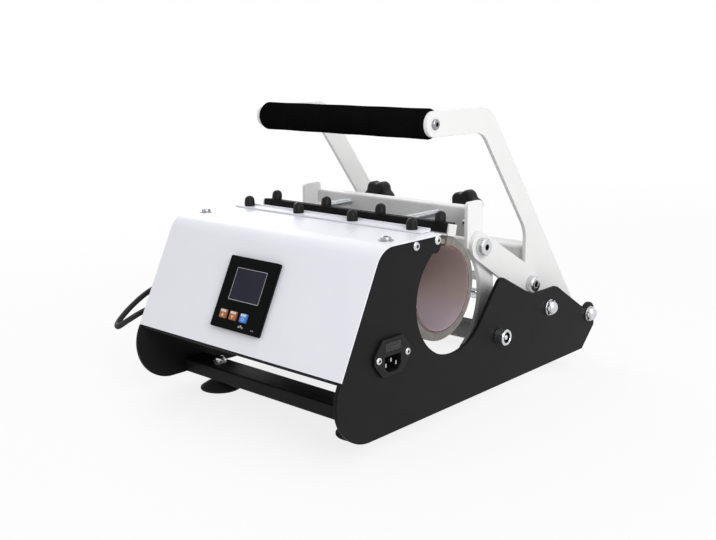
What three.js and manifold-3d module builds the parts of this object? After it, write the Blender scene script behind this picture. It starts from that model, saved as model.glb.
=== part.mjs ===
// A table-top mug heat press, in millimetres: two side plates, a control box, a wrap-round heater in two halves,
// and a handle that shuts the rear half through two links.
// X runs across the press, Y from the front edge of the side plates to the rear, Z up from their lower edge.
import * as THREE from "three";
import { mergeVertices } from "three/addons/utils/BufferGeometryUtils.js";
import Module from "manifold-3d";

const wasm = await Module();
wasm.setup();

// Clearances
const seatGap = 0.3; // between faces that rest on each other
const runGap = 0.05; // radial play of a shaft in a hole that turns or slides on it

// Facets
const arcStep = 12; // degrees between the points of an arc
const turnedSides = 20; // sides of a turned piece

// Widths, measured from the middle of the press
const innerHalf = 141; // to the inner face of a side plate
const plateThick = 4;
const spacerLength = 22.5; // from a side plate to the handle arm or the frame side beside it
const armThick = 4.5; // handle arms, frame sides and links
const armInner = innerHalf - spacerLength - armThick; // to the inner face of an arm or a frame side
const linkGap = 0.5; // between a link and the arm beside it
const wrapHalf = innerHalf - 9.5; // half the heater's width
const plateOuter = innerHalf + plateThick;
const armOuter = armInner + armThick;
const linkInner = armOuter + linkGap;
const linkOuter = linkInner + armThick;
const spanHalf = innerHalf - seatGap; // half the length of a piece between the side plates
const betweenArms = armInner - seatGap; // half the length of a piece between the arms

// Box of the base: a bent cover whose edges lap over the side plates
const boxTop = 176;
const sheetThick = 1.5;
const coverLap = sheetThick + seatGap; // the plates lie this far inside the cover's outer face
const coverAngle = 64.1; // slope of the front, in degrees
const kneeRadius = 25; // bend of the cover from the slope to the top
const coverFoot = 65.3; // lower edge of the cover

// Side plate outline
const plateTop = boxTop - coverLap;
const footHeight = 13;
const toeRadius = 43; // round lower front corner
const throat = [166.4, 111.9]; // centre of the round opening for the mug
const throatRadius = 57.6;
const noseY = throat[0] - 29.5;
const noseRadius = 7.9;
const backTop = 87;
const earRadius = 13.5;
const heelChamfer = [25.5, 24.3];

// Pivots and rods, each at its Y and Z
const framePivot = [throat[0] + 77.1, 55];
const pivotSpan = 188.2; // from the frame pivot back to the handle pivot
const handlePivot = [framePivot[0] + pivotSpan, 40.3];
const tieRod = [handlePivot[0] - 89.5, handlePivot[1] + 25.5];
const armLinkPin = [handlePivot[0] - 95.7, handlePivot[1] + 50.1];
const frameLinkPin = [framePivot[0] - 3.5, framePivot[1] + 91.8];
const shoulder = [framePivot[0] + 3, framePivot[1] + 62.7];
const plateDepth = handlePivot[0] + earRadius;
const pivotRadius = 5;
const tieRodRadius = 6;
const pinRadius = 4;
const spacerWall = 3;
const collarRadius = 8.5;
const collarLength = 11;
const domeNutRadius = 9;
const domeNutHeight = 9.3;

// Cover and tray
const coverRear = throat[0] - 21.4;
const trayFloor = 54;
const trayShelf = 61.3; // the tray's front is raised to the cover's lower edge
const trayShelfEnd = 22;
const trayStep = 5; // run of the step from the shelf down to the floor
const trayRear = throat[0] - 61.4;
const trayTop = boxTop - 6;
const trayLip = 14; // height of the tray's front lip

// Crossmembers, two rectangular tubes, and feet
const beamWidth = 30;
const beamHeight = 15;
const beamWall = 2;
const frontBeamFace = 60;
const rearBeamFace = handlePivot[0] - 62.7;
const footX = innerHalf - 40;
const footRadius = 22;
const frontFootInset = 16; // from a tube's front face to the foot's centre
const rearFootInset = 15;

// Heater wrap
const wrapCentre = [throat[0] - 0.4, throat[1] + 5];
const wrapInner = 41.4;
const wrapOuter = 52;
const wrapSplit = 269; // degrees, where the halves meet below
const wrapSplitGap = 3;
const frontLipAngle = 115;
const rearLipAngle = 105;
const tongueFoot = 128; // where the front half's tongue leaves the ring
const tongueRise = 43;
const tongueFold = 11; // length folded forward under the cover
const neckFront = 82; // the rear half's neck up to the clamp bar
const neckRear = 66.2;

// Clamp rows on the heater's two edges
const frontStrip = { from: coverRear - 14, to: coverRear + 1, thick: sheetThick, lip: 1.8 };
const frontCapY = coverRear - 6.7;
const rearBarFrom = throat[0] + 6.7;
const rearBarWidth = 14;
const rearBarThick = 9.8;
const rearBarTo = rearBarFrom + rearBarWidth;
const rearBarHalf = wrapHalf - 1.7;
const rearBarBottom = boxTop - 5.8;
const capShares = [-1, -1 / 3, 1 / 3, 1]; // even spacing of a row's four screws
const frontCapX = capShares.map((share) => share * (innerHalf - 26));
const rearCapX = capShares.map((share) => share * (rearBarHalf - 13.5));
const capRadius = 5.6;
const frontCapHeight = 11.2;
const rearCapHeight = 10.2;
const studRadius = 2;

// Press frame
const ringCentre = [framePivot[0] - 61, framePivot[1] + 42];
const ringInner = 64.5;
const ringOuter = 89;
const ringTail = -54; // degrees
const blockFront = ringCentre[0] + 41;
const blockTop = ringCentre[1] + 96.5;
const blockRear = ringCentre[0] + 67.5;
const bracketFace = blockFront + 21.5;
const bracketFoot = frameLinkPin[1] + 5.7;
const bracketTop = blockTop - 8.5;
const bracketFlange = 18;
const bracketThick = 3;
const bracketBend = 1;
const cradleRodRadius = 2.5;
const cradleRodReach = ringInner + 2.2; // from the ring's centre to the rod
const upperStrip = { from: 10, to: 18, inner: ringInner + 2, outer: ringInner + 4 };
const lowerStrip = { from: -46, to: -30, inner: ringInner + 0.5, outer: ringInner + 2 };

// Knob screws and star knobs
const knobX = armInner - 50.5;
const knobZ = rearBarBottom + rearBarThick / 2;
const screwRadius = 4;
const knobFrom = bracketFace + 45;
const knobDepth = 17;
const knobRadius = 18.8;
const knobLobes = 6;
const lobeDepth = 2.6;
const hubRadius = 5.8;
const clampTravel = 5;

// Handle
const gripCentre = [handlePivot[0] - 263.7, handlePivot[1] + 234.5];
const gripEndRadius = 14.2;
const gripRadius = 13.8;
const gripRodRadius = 6;
const gripScrewRadius = 7.5;
const armFoot = earRadius - 0.3; // radius of the arm round the handle pivot
const armBoss = 12.4; // radius of the arm round the link pin
const armSlope = -52.8; // degrees
const armWidth = 25.2;
const slotRun = 9.4; // how far the link pin strays along the arm
const slotRadius = 5.7;
const slotDrop = 0.4;
const tieFace = armLinkPin[0] + 2;
const tieTop = armLinkPin[1] + 40.6;
const tieDepth = 28;
const tieHeight = 26;
const tieThick = 2.5;

// Links and their bolts
const linkFrameEnd = 14.5;
const linkArmEnd = 17;
const boltHead = { radius: 9, height: 8, socket: 3.5, depth: 4 };
const frameBoltWasher = 9; // radius of the washer under each bolt's nut
const armBoltWasher = 12;
const boltWasherThick = 1.5;
const boltNutHeight = 5;

// Controller on the front slope
const panelX = 0.6;
const panelRise = 54.7; // from the cover's lower edge to the panel's middle, along the slope
const panelSize = [68, 72];
const panelRim = 3; // the bezel reaches this far past the body on every side
const panelProud = 5;
const bodyDepth = 38;
const screenSize = [41, 30.8];
const screenAt = [1.5, 8.9];
const screenRecess = 2;
const buttonSize = [9.4, 9];
const buttonX = [-19.1, -5.1, 9.8];
const buttonRise = -22;
const buttonProud = 1.6;
const buttonTravel = 1;
const buttonDepth = 3;

// Power inlet on the right plate
const inletAt = [71.2, 75.1];
const inletBlock = [27.5, 33];
const inletPitch = 40;
const inletEars = inletPitch + 10;
const inletScrewHole = 1.8;
const inletProud = 3;
const inletDepth = 27;
const socketSize = [22.5, 15];
const socketAt = -6.5;
const socketDepth = 15;
const drawerSize = [21, 8];
const drawerAt = 9.5;
const drawerDepth = 20;
const drawerLip = 1.2;

// Control board
const boardSize = [65, 56, 1.6];
const boardAt = [innerHalf - 63, trayRear - 43];
const boardStand = 7;
const relaySize = [20, 16, 15];
const transformerSize = [24, 22, 20];
const partGap = 8; // between the relay and the transformer

// Heater lead
const leadRadius = 3.75;
const grommetAt = [75, 72];
const grommetHole = 6.5;
const grommetFlange = 9;
const grommetDepth = 3;
const leadExitAngle = 200;

const paintBlack = new THREE.MeshStandardMaterial({ color: 0x2a2b2d, roughness: 0.55, metalness: 0.2 });
const paintWhite = new THREE.MeshStandardMaterial({ color: 0xf1f1ef, roughness: 0.35, metalness: 0.0 });
const brushedSteel = new THREE.MeshStandardMaterial({ color: 0xb9bbbd, roughness: 0.35, metalness: 0.9 });
const brightSteel = new THREE.MeshStandardMaterial({ color: 0xd0d2d4, roughness: 0.25, metalness: 0.95 });
const blackPlastic = new THREE.MeshStandardMaterial({ color: 0x161617, roughness: 0.45, metalness: 0.0 });
const blackRubber = new THREE.MeshStandardMaterial({ color: 0x1b1b1b, roughness: 0.8, metalness: 0.0 });
const blackFoam = new THREE.MeshStandardMaterial({ color: 0x141414, roughness: 0.95, metalness: 0.0 });
const silicone = new THREE.MeshStandardMaterial({ color: 0xa89a90, roughness: 0.75, metalness: 0.0 });
const screenGlass = new THREE.MeshStandardMaterial({ color: 0x4c5560, roughness: 0.15, metalness: 0.0 });
const orangeKey = new THREE.MeshStandardMaterial({ color: 0xd9772e, roughness: 0.5, metalness: 0.0 });
const blueKey = new THREE.MeshStandardMaterial({ color: 0x3f7fd0, roughness: 0.5, metalness: 0.0 });
const boardGreen = new THREE.MeshStandardMaterial({ color: 0x2b6b3c, roughness: 0.6, metalness: 0.0 });

const press = new THREE.Group();
press.position.set(0, -plateDepth / 2, footHeight);

function addPiece(name, geometry, material, parent = press) {
  const piece = new THREE.Mesh(geometry, material);
  piece.name = name;
  parent.add(piece);
  return piece;
}

// The points of an arc, in degrees from the first axis.
function arc([a, b], radius, from, to) {
  const steps = Math.max(2, Math.ceil(Math.abs(to - from) / arcStep));
  return Array.from({ length: steps + 1 }, (_, i) => {
    const angle = THREE.MathUtils.degToRad(from + ((to - from) * i) / steps);
    return new THREE.Vector2(a + radius * Math.cos(angle), b + radius * Math.sin(angle));
  });
}

// A round hole whose flats lie at the radius, so that a shaft of that radius passes.
function bore([a, b], radius) {
  const sides = turnedSides;
  const outer = radius / Math.cos(Math.PI / sides);
  return Array.from({ length: sides }, (_, i) => {
    const angle = (2 * Math.PI * i) / sides;
    return new THREE.Vector2(a + outer * Math.cos(angle), b + outer * Math.sin(angle));
  });
}

// A closed outline from runs of arc points and corners [a, b, rounding].
function outline(...steps) {
  const isRun = (step) => step[0].isVector2;
  const firstOf = (step) => (isRun(step) ? step[0] : new THREE.Vector2(step[0], step[1]));
  const lastOf = (step) => (isRun(step) ? step.at(-1) : new THREE.Vector2(step[0], step[1]));
  const points = [];
  steps.forEach((step, i) => {
    if (isRun(step)) {
      points.push(...step);
      return;
    }
    const corner = firstOf(step);
    if (!step[2]) {
      points.push(corner);
      return;
    }
    const before = lastOf(steps.at(i - 1)).clone().sub(corner);
    const after = firstOf(steps[(i + 1) % steps.length]).clone().sub(corner);
    const half = before.angleTo(after) / 2;
    const room = 0.48 * Math.min(before.length(), after.length());
    const rounding = Math.min(step[2], room * Math.tan(half));
    before.normalize();
    after.normalize();
    const middle = before.clone().add(after).normalize();
    const centre = corner.clone().addScaledVector(middle, rounding / Math.sin(half));
    const start = corner.clone().addScaledVector(before, rounding / Math.tan(half)).sub(centre);
    const end = corner.clone().addScaledVector(after, rounding / Math.tan(half)).sub(centre);
    const from = THREE.MathUtils.radToDeg(Math.atan2(start.y, start.x));
    const turn = THREE.MathUtils.radToDeg(Math.atan2(start.cross(end), start.dot(end)));
    points.push(...arc([centre.x, centre.y], rounding, from, from + turn));
  });
  return points.filter((p, i) => p.distanceTo(points.at(i - 1)) > 1e-3);
}

// The outline of a sheet bent along a path of corners [a, b, inner bend radius].
// The path is one face of the sheet, and the thickness lies to the right of it.
function bentSheet(path, thick) {
  const points = path.map(([a, b]) => new THREE.Vector2(a, b));
  const ways = points.slice(1).map((p, i) => p.clone().sub(points[i]).normalize());
  const near = [];
  const far = [];
  points.forEach((p, i) => {
    const into = ways[Math.max(i - 1, 0)];
    const out = ways[Math.min(i, ways.length - 1)];
    const side = new THREE.Vector2(into.y + out.y, -into.x - out.x);
    side.multiplyScalar(thick / (1 + into.dot(out)));
    const turn = into.cross(out);
    const bend = path[i][2] ?? 0;
    near.push([p.x, p.y, turn < 0 ? bend + thick : bend]);
    far.unshift([p.x + side.x, p.y + side.y, turn > 0 ? bend + thick : bend]);
  });
  [near[0], near.at(-1), far[0], far.at(-1)].forEach((end) => {
    end[2] = 0;
  });
  return outline(...near, ...far);
}

// A plate with its outline in Y and Z, from x to x + thick.
function acrossX(points, x, thick, holes = []) {
  const shape = new THREE.Shape(points);
  shape.holes = holes.map((hole) => new THREE.Path(hole));
  const geometry = new THREE.ExtrudeGeometry(shape, { depth: thick, bevelEnabled: false });
  const turn = new THREE.Matrix4().makeBasis(
    new THREE.Vector3(0, 1, 0),
    new THREE.Vector3(0, 0, 1),
    new THREE.Vector3(1, 0, 0),
  );
  return geometry.applyMatrix4(turn).translate(x, 0, 0);
}

// A plate with its outline in X and Y, from z to z + thick.
function upZ(points, z, thick, holes = []) {
  const shape = new THREE.Shape(points);
  shape.holes = holes.map((hole) => new THREE.Path(hole));
  return new THREE.ExtrudeGeometry(shape, { depth: thick, bevelEnabled: false }).translate(0, 0, z);
}

function rectangle([a, b], [width, height], rounding = 0) {
  const [w, h] = [width / 2, height / 2];
  return outline(
    [a - w, b - h, rounding],
    [a + w, b - h, rounding],
    [a + w, b + h, rounding],
    [a - w, b + h, rounding],
  );
}

function block([x0, x1], [y0, y1], [z0, z1]) {
  const geometry = new THREE.BoxGeometry(x1 - x0, y1 - y0, z1 - z0);
  return geometry.translate((x0 + x1) / 2, (y0 + y1) / 2, (z0 + z1) / 2);
}

// A turned piece about the local Y axis, from [radius, height] points.
function turned(profile, sides = turnedSides) {
  return new THREE.LatheGeometry(profile.map(([r, h]) => new THREE.Vector2(r, h)), sides);
}

// A rod with the same end on both sides, the end's points measured from its seat.
function rodWithEnds(radius, seat, end) {
  const right = [[radius, seat], ...end.map(([r, h]) => [r, seat + h])];
  const left = right.map(([r, h]) => [r, -h]).reverse();
  return turned([...left, ...right]);
}

function tube(inner, outer, from, to) {
  return turned([[inner, from], [outer, from], [outer, to], [inner, to], [inner, from]]);
}

function solidOf(geometry) {
  const bare = geometry.clone();
  bare.deleteAttribute("normal");
  bare.deleteAttribute("uv");
  const merged = mergeVertices(bare, 1e-4);
  return new wasm.Manifold(
    new wasm.Mesh({
      numProp: 3,
      vertProperties: merged.attributes.position.array,
      triVerts: new Uint32Array(merged.index.array),
    }),
  );
}

function geometryOf(solid) {
  const mesh = solid.getMesh();
  const geometry = new THREE.BufferGeometry();
  geometry.setAttribute("position", new THREE.BufferAttribute(mesh.vertProperties, 3));
  geometry.setIndex(new THREE.BufferAttribute(mesh.triVerts, 1));
  geometry.computeVertexNormals();
  return geometry;
}

function join(...geometries) {
  return geometryOf(geometries.map(solidOf).reduce((whole, piece) => whole.add(piece)));
}

function cut(geometry, ...tools) {
  return geometryOf(tools.map(solidOf).reduce((whole, tool) => whole.subtract(tool), solidOf(geometry)));
}

// Both sides of the press: the left one lies at negative X.
const sides = [
  { name: "left", sign: -1 },
  { name: "right", sign: 1 },
];

// Lays a piece turned about its Y axis along X, its height pointing outwards on its own side.
function layAlongX(piece, sign, [y, z]) {
  piece.rotation.z = (-sign * Math.PI) / 2;
  piece.position.set(0, y, z);
}

function flatOnSide(points, sign, inner, thick, holes = []) {
  return acrossX(points, sign > 0 ? inner : -inner - thick, thick, holes);
}

// The front slope of the plates, shared by the plates, the cover and the tray.
const slope = THREE.MathUtils.degToRad(coverAngle);
const slopeStart = arc([toeRadius, toeRadius], toeRadius, 270, 90 + coverAngle).at(-1);
function slopeY(z, inset) {
  return slopeStart.x + (z - slopeStart.y) / Math.tan(slope) + inset / Math.sin(slope);
}

// A point beside the slope: its distance up from the cover's lower edge, and inwards.
function besideSlope(rise, inset) {
  return [
    slopeY(coverFoot, 0) + rise * Math.cos(slope) + inset * Math.sin(slope),
    coverFoot + rise * Math.sin(slope) - inset * Math.cos(slope),
  ];
}

function addSidePlates() {
  const points = outline(
    arc([toeRadius, toeRadius], toeRadius, 270, 90 + coverAngle),
    besideSlope(-seatGap, 0),
    besideSlope(-seatGap, coverLap),
    [slopeY(plateTop, coverLap), plateTop, kneeRadius - coverLap],
    arc([noseY, plateTop - noseRadius], noseRadius, 90, -111),
    arc(throat, throatRadius, 125.1, 319.9),
    [...shoulder, 9],
    [armLinkPin[0] - 29, backTop, 15],
    [tieRod[0] + 15.3, backTop, 12],
    [handlePivot[0] - 12.6, handlePivot[1] + 9.7],
    arc(handlePivot, earRadius, 145, 0),
    [plateDepth, heelChamfer[1]],
    [plateDepth - heelChamfer[0], 0],
  );
  const shaftHoles = [
    bore(framePivot, pivotRadius + seatGap),
    bore(tieRod, tieRodRadius + seatGap),
    bore(handlePivot, pivotRadius + seatGap),
  ];
  const ownHole = {
    left: bore(grommetAt, grommetHole),
    right: rectangle(inletAt, inletBlock.map((size) => size + seatGap)),
  };
  for (const { name, sign } of sides) {
    const holes = [...shaftHoles, ownHole[name]];
    addPiece("side_plate_" + name, flatOnSide(points, sign, innerHalf, plateThick, holes), paintBlack);
  }
}

function addShafts() {
  const seat = plateOuter + seatGap;
  const collar = [
    [collarRadius, 0],
    [collarRadius, collarLength],
    [collarRadius * 0.5, collarLength],
    [collarRadius * 0.5, collarLength - 5],
    [0, collarLength - 5],
  ];
  const domeNut = [
    [domeNutRadius, 0],
    [domeNutRadius, domeNutHeight * 0.5],
    [domeNutRadius * 0.85, domeNutHeight * 0.72],
    [domeNutRadius * 0.5, domeNutHeight * 0.93],
    [0, domeNutHeight],
  ];
  const frameShaft = addPiece("frame_pivot_shaft", rodWithEnds(pivotRadius, seat, collar), brightSteel);
  layAlongX(frameShaft, 1, framePivot);
  const tie = addPiece("rear_tie_rod", rodWithEnds(tieRodRadius, seat, domeNut), brightSteel);
  layAlongX(tie, 1, tieRod);
  const handleRod = addPiece("handle_pivot_rod", rodWithEnds(pivotRadius, seat, domeNut), brightSteel);
  layAlongX(handleRod, 1, handlePivot);
  for (const { name, sign } of sides) {
    const bush = tube(pivotRadius + seatGap, pivotRadius + spacerWall, armOuter + seatGap, spanHalf);
    layAlongX(addPiece("frame_spacer_" + name, bush, brushedSteel), sign, framePivot);
    layAlongX(addPiece("handle_spacer_" + name, bush.clone(), brushedSteel), sign, handlePivot);
  }
}

function addCrossmember(name, face) {
  const centre = [face + beamWidth / 2, seatGap + beamHeight / 2];
  const section = rectangle(centre, [beamWidth, beamHeight], beamWall);
  const inside = rectangle(centre, [beamWidth - 2 * beamWall, beamHeight - 2 * beamWall], beamWall / 2);
  addPiece(name, acrossX(section, -spanHalf, 2 * spanHalf, [inside]), paintBlack);
}

function addFeet() {
  const rows = [frontBeamFace + frontFootInset, rearBeamFace + rearFootInset];
  const profile = [
    [0, 3],
    [footRadius * 0.7, 0],
    [footRadius, 0],
    [footRadius, 1.5],
    [footRadius * 0.6, footHeight * 0.55],
    [footRadius * 0.38, footHeight * 0.7],
    [footRadius * 0.38, footHeight],
    [0, footHeight],
  ];
  rows.forEach((y, row) => {
    sides.forEach(({ sign }, column) => {
      const foot = addPiece("foot_" + (2 * row + column + 1), turned(profile, 16), blackRubber);
      foot.rotation.x = Math.PI / 2;
      foot.position.set(sign * footX, y, -footHeight);
    });
  });
}

// The controller's own frame: X across, Y up the slope, Z out of the cover.
const bodySize = panelSize.map((size) => size - 2 * panelRim);
const panel = new THREE.Group();
panel.rotation.x = slope;
panel.position.set(panelX, ...besideSlope(panelRise, 0));

function addCover() {
  const path = [
    besideSlope(0, 0),
    [slopeY(boxTop, 0), boxTop, kneeRadius - sheetThick],
    [coverRear, boxTop],
  ];
  const sheet = acrossX(bentSheet(path, sheetThick), -plateOuter, 2 * plateOuter);
  const opening = bodySize.map((size) => size + 2 * seatGap);
  panel.updateMatrix();
  const window = upZ(rectangle([0, 0], opening), -2 * sheetThick, 4 * sheetThick);
  window.applyMatrix4(panel.matrix);
  const studs = frontCapX.map((x) =>
    upZ(bore([x, frontCapY], studRadius + seatGap), boxTop - 2 * sheetThick, 4 * sheetThick),
  );
  addPiece("front_cover", cut(sheet, window, ...studs), paintWhite);
}

function addTray() {
  const path = [
    [trayRear, trayTop],
    [trayRear, trayFloor, sheetThick],
    [trayShelfEnd + trayStep, trayFloor, sheetThick],
    [trayShelfEnd, trayShelf, sheetThick],
    [slopeY(trayShelf, coverLap), trayShelf, sheetThick],
    [slopeY(trayShelf + trayLip, coverLap), trayShelf + trayLip],
  ];
  addPiece("inner_tray", acrossX(bentSheet(path, sheetThick), -spanHalf, 2 * spanHalf), paintBlack);
}

function addController() {
  press.add(panel);
  const [keyWidth, keyHeight] = buttonSize;
  const bezel = upZ(rectangle([0, 0], panelSize), seatGap, panelProud - seatGap);
  const body = upZ(rectangle([0, 0], bodySize), -bodyDepth, bodyDepth + 1);
  const screenHole = upZ(rectangle(screenAt, screenSize), panelProud - screenRecess, 2 * screenRecess);
  const keyFloor = panelProud + buttonProud - buttonDepth - buttonTravel - seatGap;
  const keyHoles = buttonX.map((x) =>
    upZ(
      rectangle([x, buttonRise], [keyWidth + 2 * seatGap, keyHeight + 2 * seatGap]),
      keyFloor,
      panelProud,
    ),
  );
  addPiece("controller_housing", cut(join(bezel, body), screenHole, ...keyHoles), blackPlastic, panel);
  const glass = rectangle(screenAt, screenSize.map((size) => size - 2 * seatGap), 1);
  const glassThick = screenRecess - 2 * seatGap;
  const glassFrom = panelProud - screenRecess + seatGap;
  addPiece("controller_screen", upZ(glass, glassFrom, glassThick), screenGlass, panel);
  buttonX.forEach((x, i) => {
    const cap = upZ(rectangle([x, buttonRise], buttonSize, 1), panelProud + buttonProud - buttonDepth, buttonDepth);
    addPiece("button_" + (i + 1), cap, i < 2 ? orangeKey : blueKey, panel);
  });
}

function addInlet() {
  const [y, z] = inletAt;
  const [halfWidth, halfHeight] = inletBlock.map((size) => size / 2);
  const ear = inletEars / 2;
  const face = plateOuter + seatGap + inletProud;
  const flange = acrossX(
    outline(
      [y - ear, z - 4, 2],
      [y - halfWidth, z - halfHeight - 1, 1],
      [y + halfWidth, z - halfHeight - 1, 1],
      [y + ear, z - 4, 2],
      [y + ear, z + 4, 2],
      [y + halfWidth, z + halfHeight + 1, 1],
      [y - halfWidth, z + halfHeight + 1, 1],
      [y - ear, z + 4, 2],
    ),
    plateOuter + seatGap,
    inletProud,
    [-0.5, 0.5].map((share) => bore([y + share * inletPitch, z], inletScrewHole)),
  );
  const body = acrossX(
    rectangle(inletAt, inletBlock.map((size) => size - seatGap)),
    face - inletDepth,
    inletDepth - 1,
  );
  const socket = acrossX(
    rectangle([y, z + socketAt], socketSize, 3),
    face - socketDepth,
    2 * socketDepth,
  );
  const pocket = acrossX(
    rectangle([y, z + drawerAt], drawerSize.map((size) => size + 2 * seatGap)),
    face - drawerDepth - seatGap,
    2 * drawerDepth,
  );
  addPiece("power_inlet", cut(join(flange, body), socket, pocket), blackPlastic);
  const drawer = acrossX(rectangle([y, z + drawerAt], drawerSize, 0.8), face - drawerDepth, drawerDepth);
  const lip = acrossX(
    rectangle([y, z + drawerAt], [drawerSize[0] * 0.5, drawerSize[1] * 0.5]),
    face - 1,
    drawerLip + 1,
  );
  addPiece("fuse_drawer", join(drawer, lip), blackPlastic);
}

function addBoard() {
  const [x, y] = boardAt;
  const [width, depth, thick] = boardSize;
  const floor = trayFloor + sheetThick + seatGap;
  const top = floor + boardStand + thick;
  const parts = [block([x - width / 2, x + width / 2], [y - depth / 2, y + depth / 2], [top - thick, top])];
  for (const sx of [-1, 1]) {
    for (const sy of [-1, 1]) {
      const at = [x + sx * (width / 2 - 5), y + sy * (depth / 2 - 5)];
      parts.push(upZ(bore(at, 3), floor, boardStand + thick / 2));
    }
  }
  [relaySize, transformerSize].forEach(([partWidth, partDepth, partHeight], i) => {
    const x0 = i === 0 ? x - partGap / 2 - partWidth : x + partGap / 2;
    parts.push(
      block([x0, x0 + partWidth], [y - partDepth / 2, y + partDepth / 2], [top - thick / 2, top + partHeight]),
    );
  });
  addPiece("control_board", join(...parts), boardGreen);
}

function wrapArc(radius, from, to) {
  return arc(wrapCentre, radius, from, to);
}

function addWrap() {
  const tongueTop = boxTop - coverLap;
  const front = outline(
    wrapArc(wrapOuter, tongueFoot, wrapSplit),
    wrapArc(wrapInner, wrapSplit, frontLipAngle),
    [coverRear, wrapCentre[1] + tongueRise],
    [coverRear, tongueTop, 1],
    [coverRear - tongueFold, tongueTop, 1],
  );
  const width = 2 * wrapHalf;
  addPiece("heater_wrap_front", acrossX(front, -wrapHalf, width), silicone);
  const start = wrapSplit + wrapSplitGap;
  const rearTop = rearBarBottom - seatGap;
  const rear = outline(
    wrapArc(wrapInner, 360 + rearLipAngle, start),
    wrapArc(wrapOuter, start, 360 + neckRear),
    [rearBarTo, rearTop, 1],
    [rearBarFrom, rearTop],
    wrapArc(wrapOuter, 360 + neckFront, 360 + rearLipAngle),
  );
  addPiece("heater_wrap_rear", acrossX(rear, -wrapHalf, width), silicone);
}

function addCap(name, x, y, seat, height, stud) {
  const profile = [
    [0, -stud],
    [studRadius, -stud],
    [studRadius, 0],
    [capRadius, 0],
    [capRadius, height - 1],
    [capRadius - 1, height],
    [0, height],
  ];
  const cap = addPiece(name, turned(profile, 12), blackPlastic);
  cap.rotation.x = Math.PI / 2;
  cap.position.set(x, y, seat + seatGap);
}

function addClampRows() {
  const frontSeat = boxTop + seatGap + frontStrip.thick;
  const lipFace = frontStrip.to - frontStrip.thick;
  const strip = [
    [frontStrip.from, frontSeat],
    [lipFace, frontSeat],
    [lipFace, frontSeat + frontStrip.lip],
  ];
  const stripSheet = acrossX(bentSheet(strip, frontStrip.thick), -wrapHalf, 2 * wrapHalf);
  const stripHoles = frontCapX.map((x) =>
    upZ(bore([x, frontCapY], studRadius + seatGap), boxTop, 2 * frontStrip.thick),
  );
  addPiece("front_clamp_strip", cut(stripSheet, ...stripHoles), paintWhite);
  frontCapX.forEach((x, i) => {
    addCap("front_cap_" + (i + 1), x, frontCapY, frontSeat, frontCapHeight, 3);
  });
  const middle = (rearBarFrom + rearBarTo) / 2;
  const barHoles = rearCapX.map((x) => bore([x, middle], studRadius + seatGap));
  const bar = upZ(
    rectangle([0, middle], [2 * rearBarHalf, rearBarTo - rearBarFrom]),
    rearBarBottom,
    rearBarThick,
    barHoles,
  );
  const screwHoles = sides.map(({ sign }) =>
    tubeAlongY(sign * knobX, knobZ, screwRadius + seatGap, rearBarFrom + 3, rearBarTo + 1),
  );
  addPiece("rear_clamp_bar", cut(bar, ...screwHoles), paintBlack);
  rearCapX.forEach((x, i) => {
    addCap("rear_cap_" + (i + 1), x, middle, rearBarBottom + rearBarThick, rearCapHeight, rearBarThick - 0.5);
  });
}

// A plain round bar along Y, whose flats lie at the radius.
function tubeAlongY(x, z, radius, from, to) {
  const geometry = upZ(bore([0, 0], radius), 0, to - from);
  return geometry.rotateX(-Math.PI / 2).translate(x, from, z);
}

function addPressFrame() {
  const [y, z] = ringCentre;
  const tail = THREE.MathUtils.degToRad(ringTail);
  const middle = (ringInner + ringOuter) / 2;
  const tailCentre = [y + middle * Math.cos(tail), z + middle * Math.sin(tail)];
  const rearAngle = THREE.MathUtils.radToDeg(Math.acos((blockRear - y) / ringOuter));
  const frontAngle = THREE.MathUtils.radToDeg(Math.acos((blockFront - y) / ringInner));
  const points = outline(
    [blockFront, blockTop, 5],
    [blockRear, blockTop, 5],
    arc(ringCentre, ringOuter, rearAngle, ringTail),
    arc(tailCentre, (ringOuter - ringInner) / 2, ringTail, ringTail - 180),
    arc(ringCentre, ringInner, ringTail, frontAngle),
  );
  const holes = [bore(framePivot, pivotRadius + runGap), bore(frameLinkPin, pinRadius + seatGap)];
  for (const { name, sign } of sides) {
    addPiece("frame_side_" + name, flatOnSide(points, sign, armInner, armThick, holes), brushedSteel);
  }
  const web = [
    [bracketFace + bracketFlange, bracketFoot],
    [bracketFace, bracketFoot, bracketBend],
    [bracketFace, bracketTop, bracketBend],
    [bracketFace + bracketFlange, bracketTop],
  ];
  const channel = acrossX(bentSheet(web, bracketThick), -betweenArms, 2 * betweenArms);
  const passages = sides.map(({ sign }) =>
    tubeAlongY(sign * knobX, knobZ, screwRadius + runGap, bracketFace - 1, bracketFace + bracketThick + 1),
  );
  addPiece("frame_bracket", cut(channel, ...passages), brushedSteel);
  const strip = ({ from, to, inner, outer }) =>
    acrossX(
      outline(arc(ringCentre, outer, to, from), arc(ringCentre, inner, from, to)),
      -betweenArms,
      2 * betweenArms,
    );
  addPiece("cradle_strip_upper", strip(upperStrip), brushedSteel);
  addPiece("cradle_strip_lower", strip(lowerStrip), brightSteel);
  const rod = turned([
    [0, -betweenArms],
    [cradleRodRadius, -betweenArms],
    [cradleRodRadius, betweenArms],
    [0, betweenArms],
  ]);
  const rodAt = [ringCentre[0] + cradleRodReach, ringCentre[1] - 2];
  layAlongX(addPiece("cradle_rod", rod, brightSteel), 1, rodAt);
}

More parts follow.
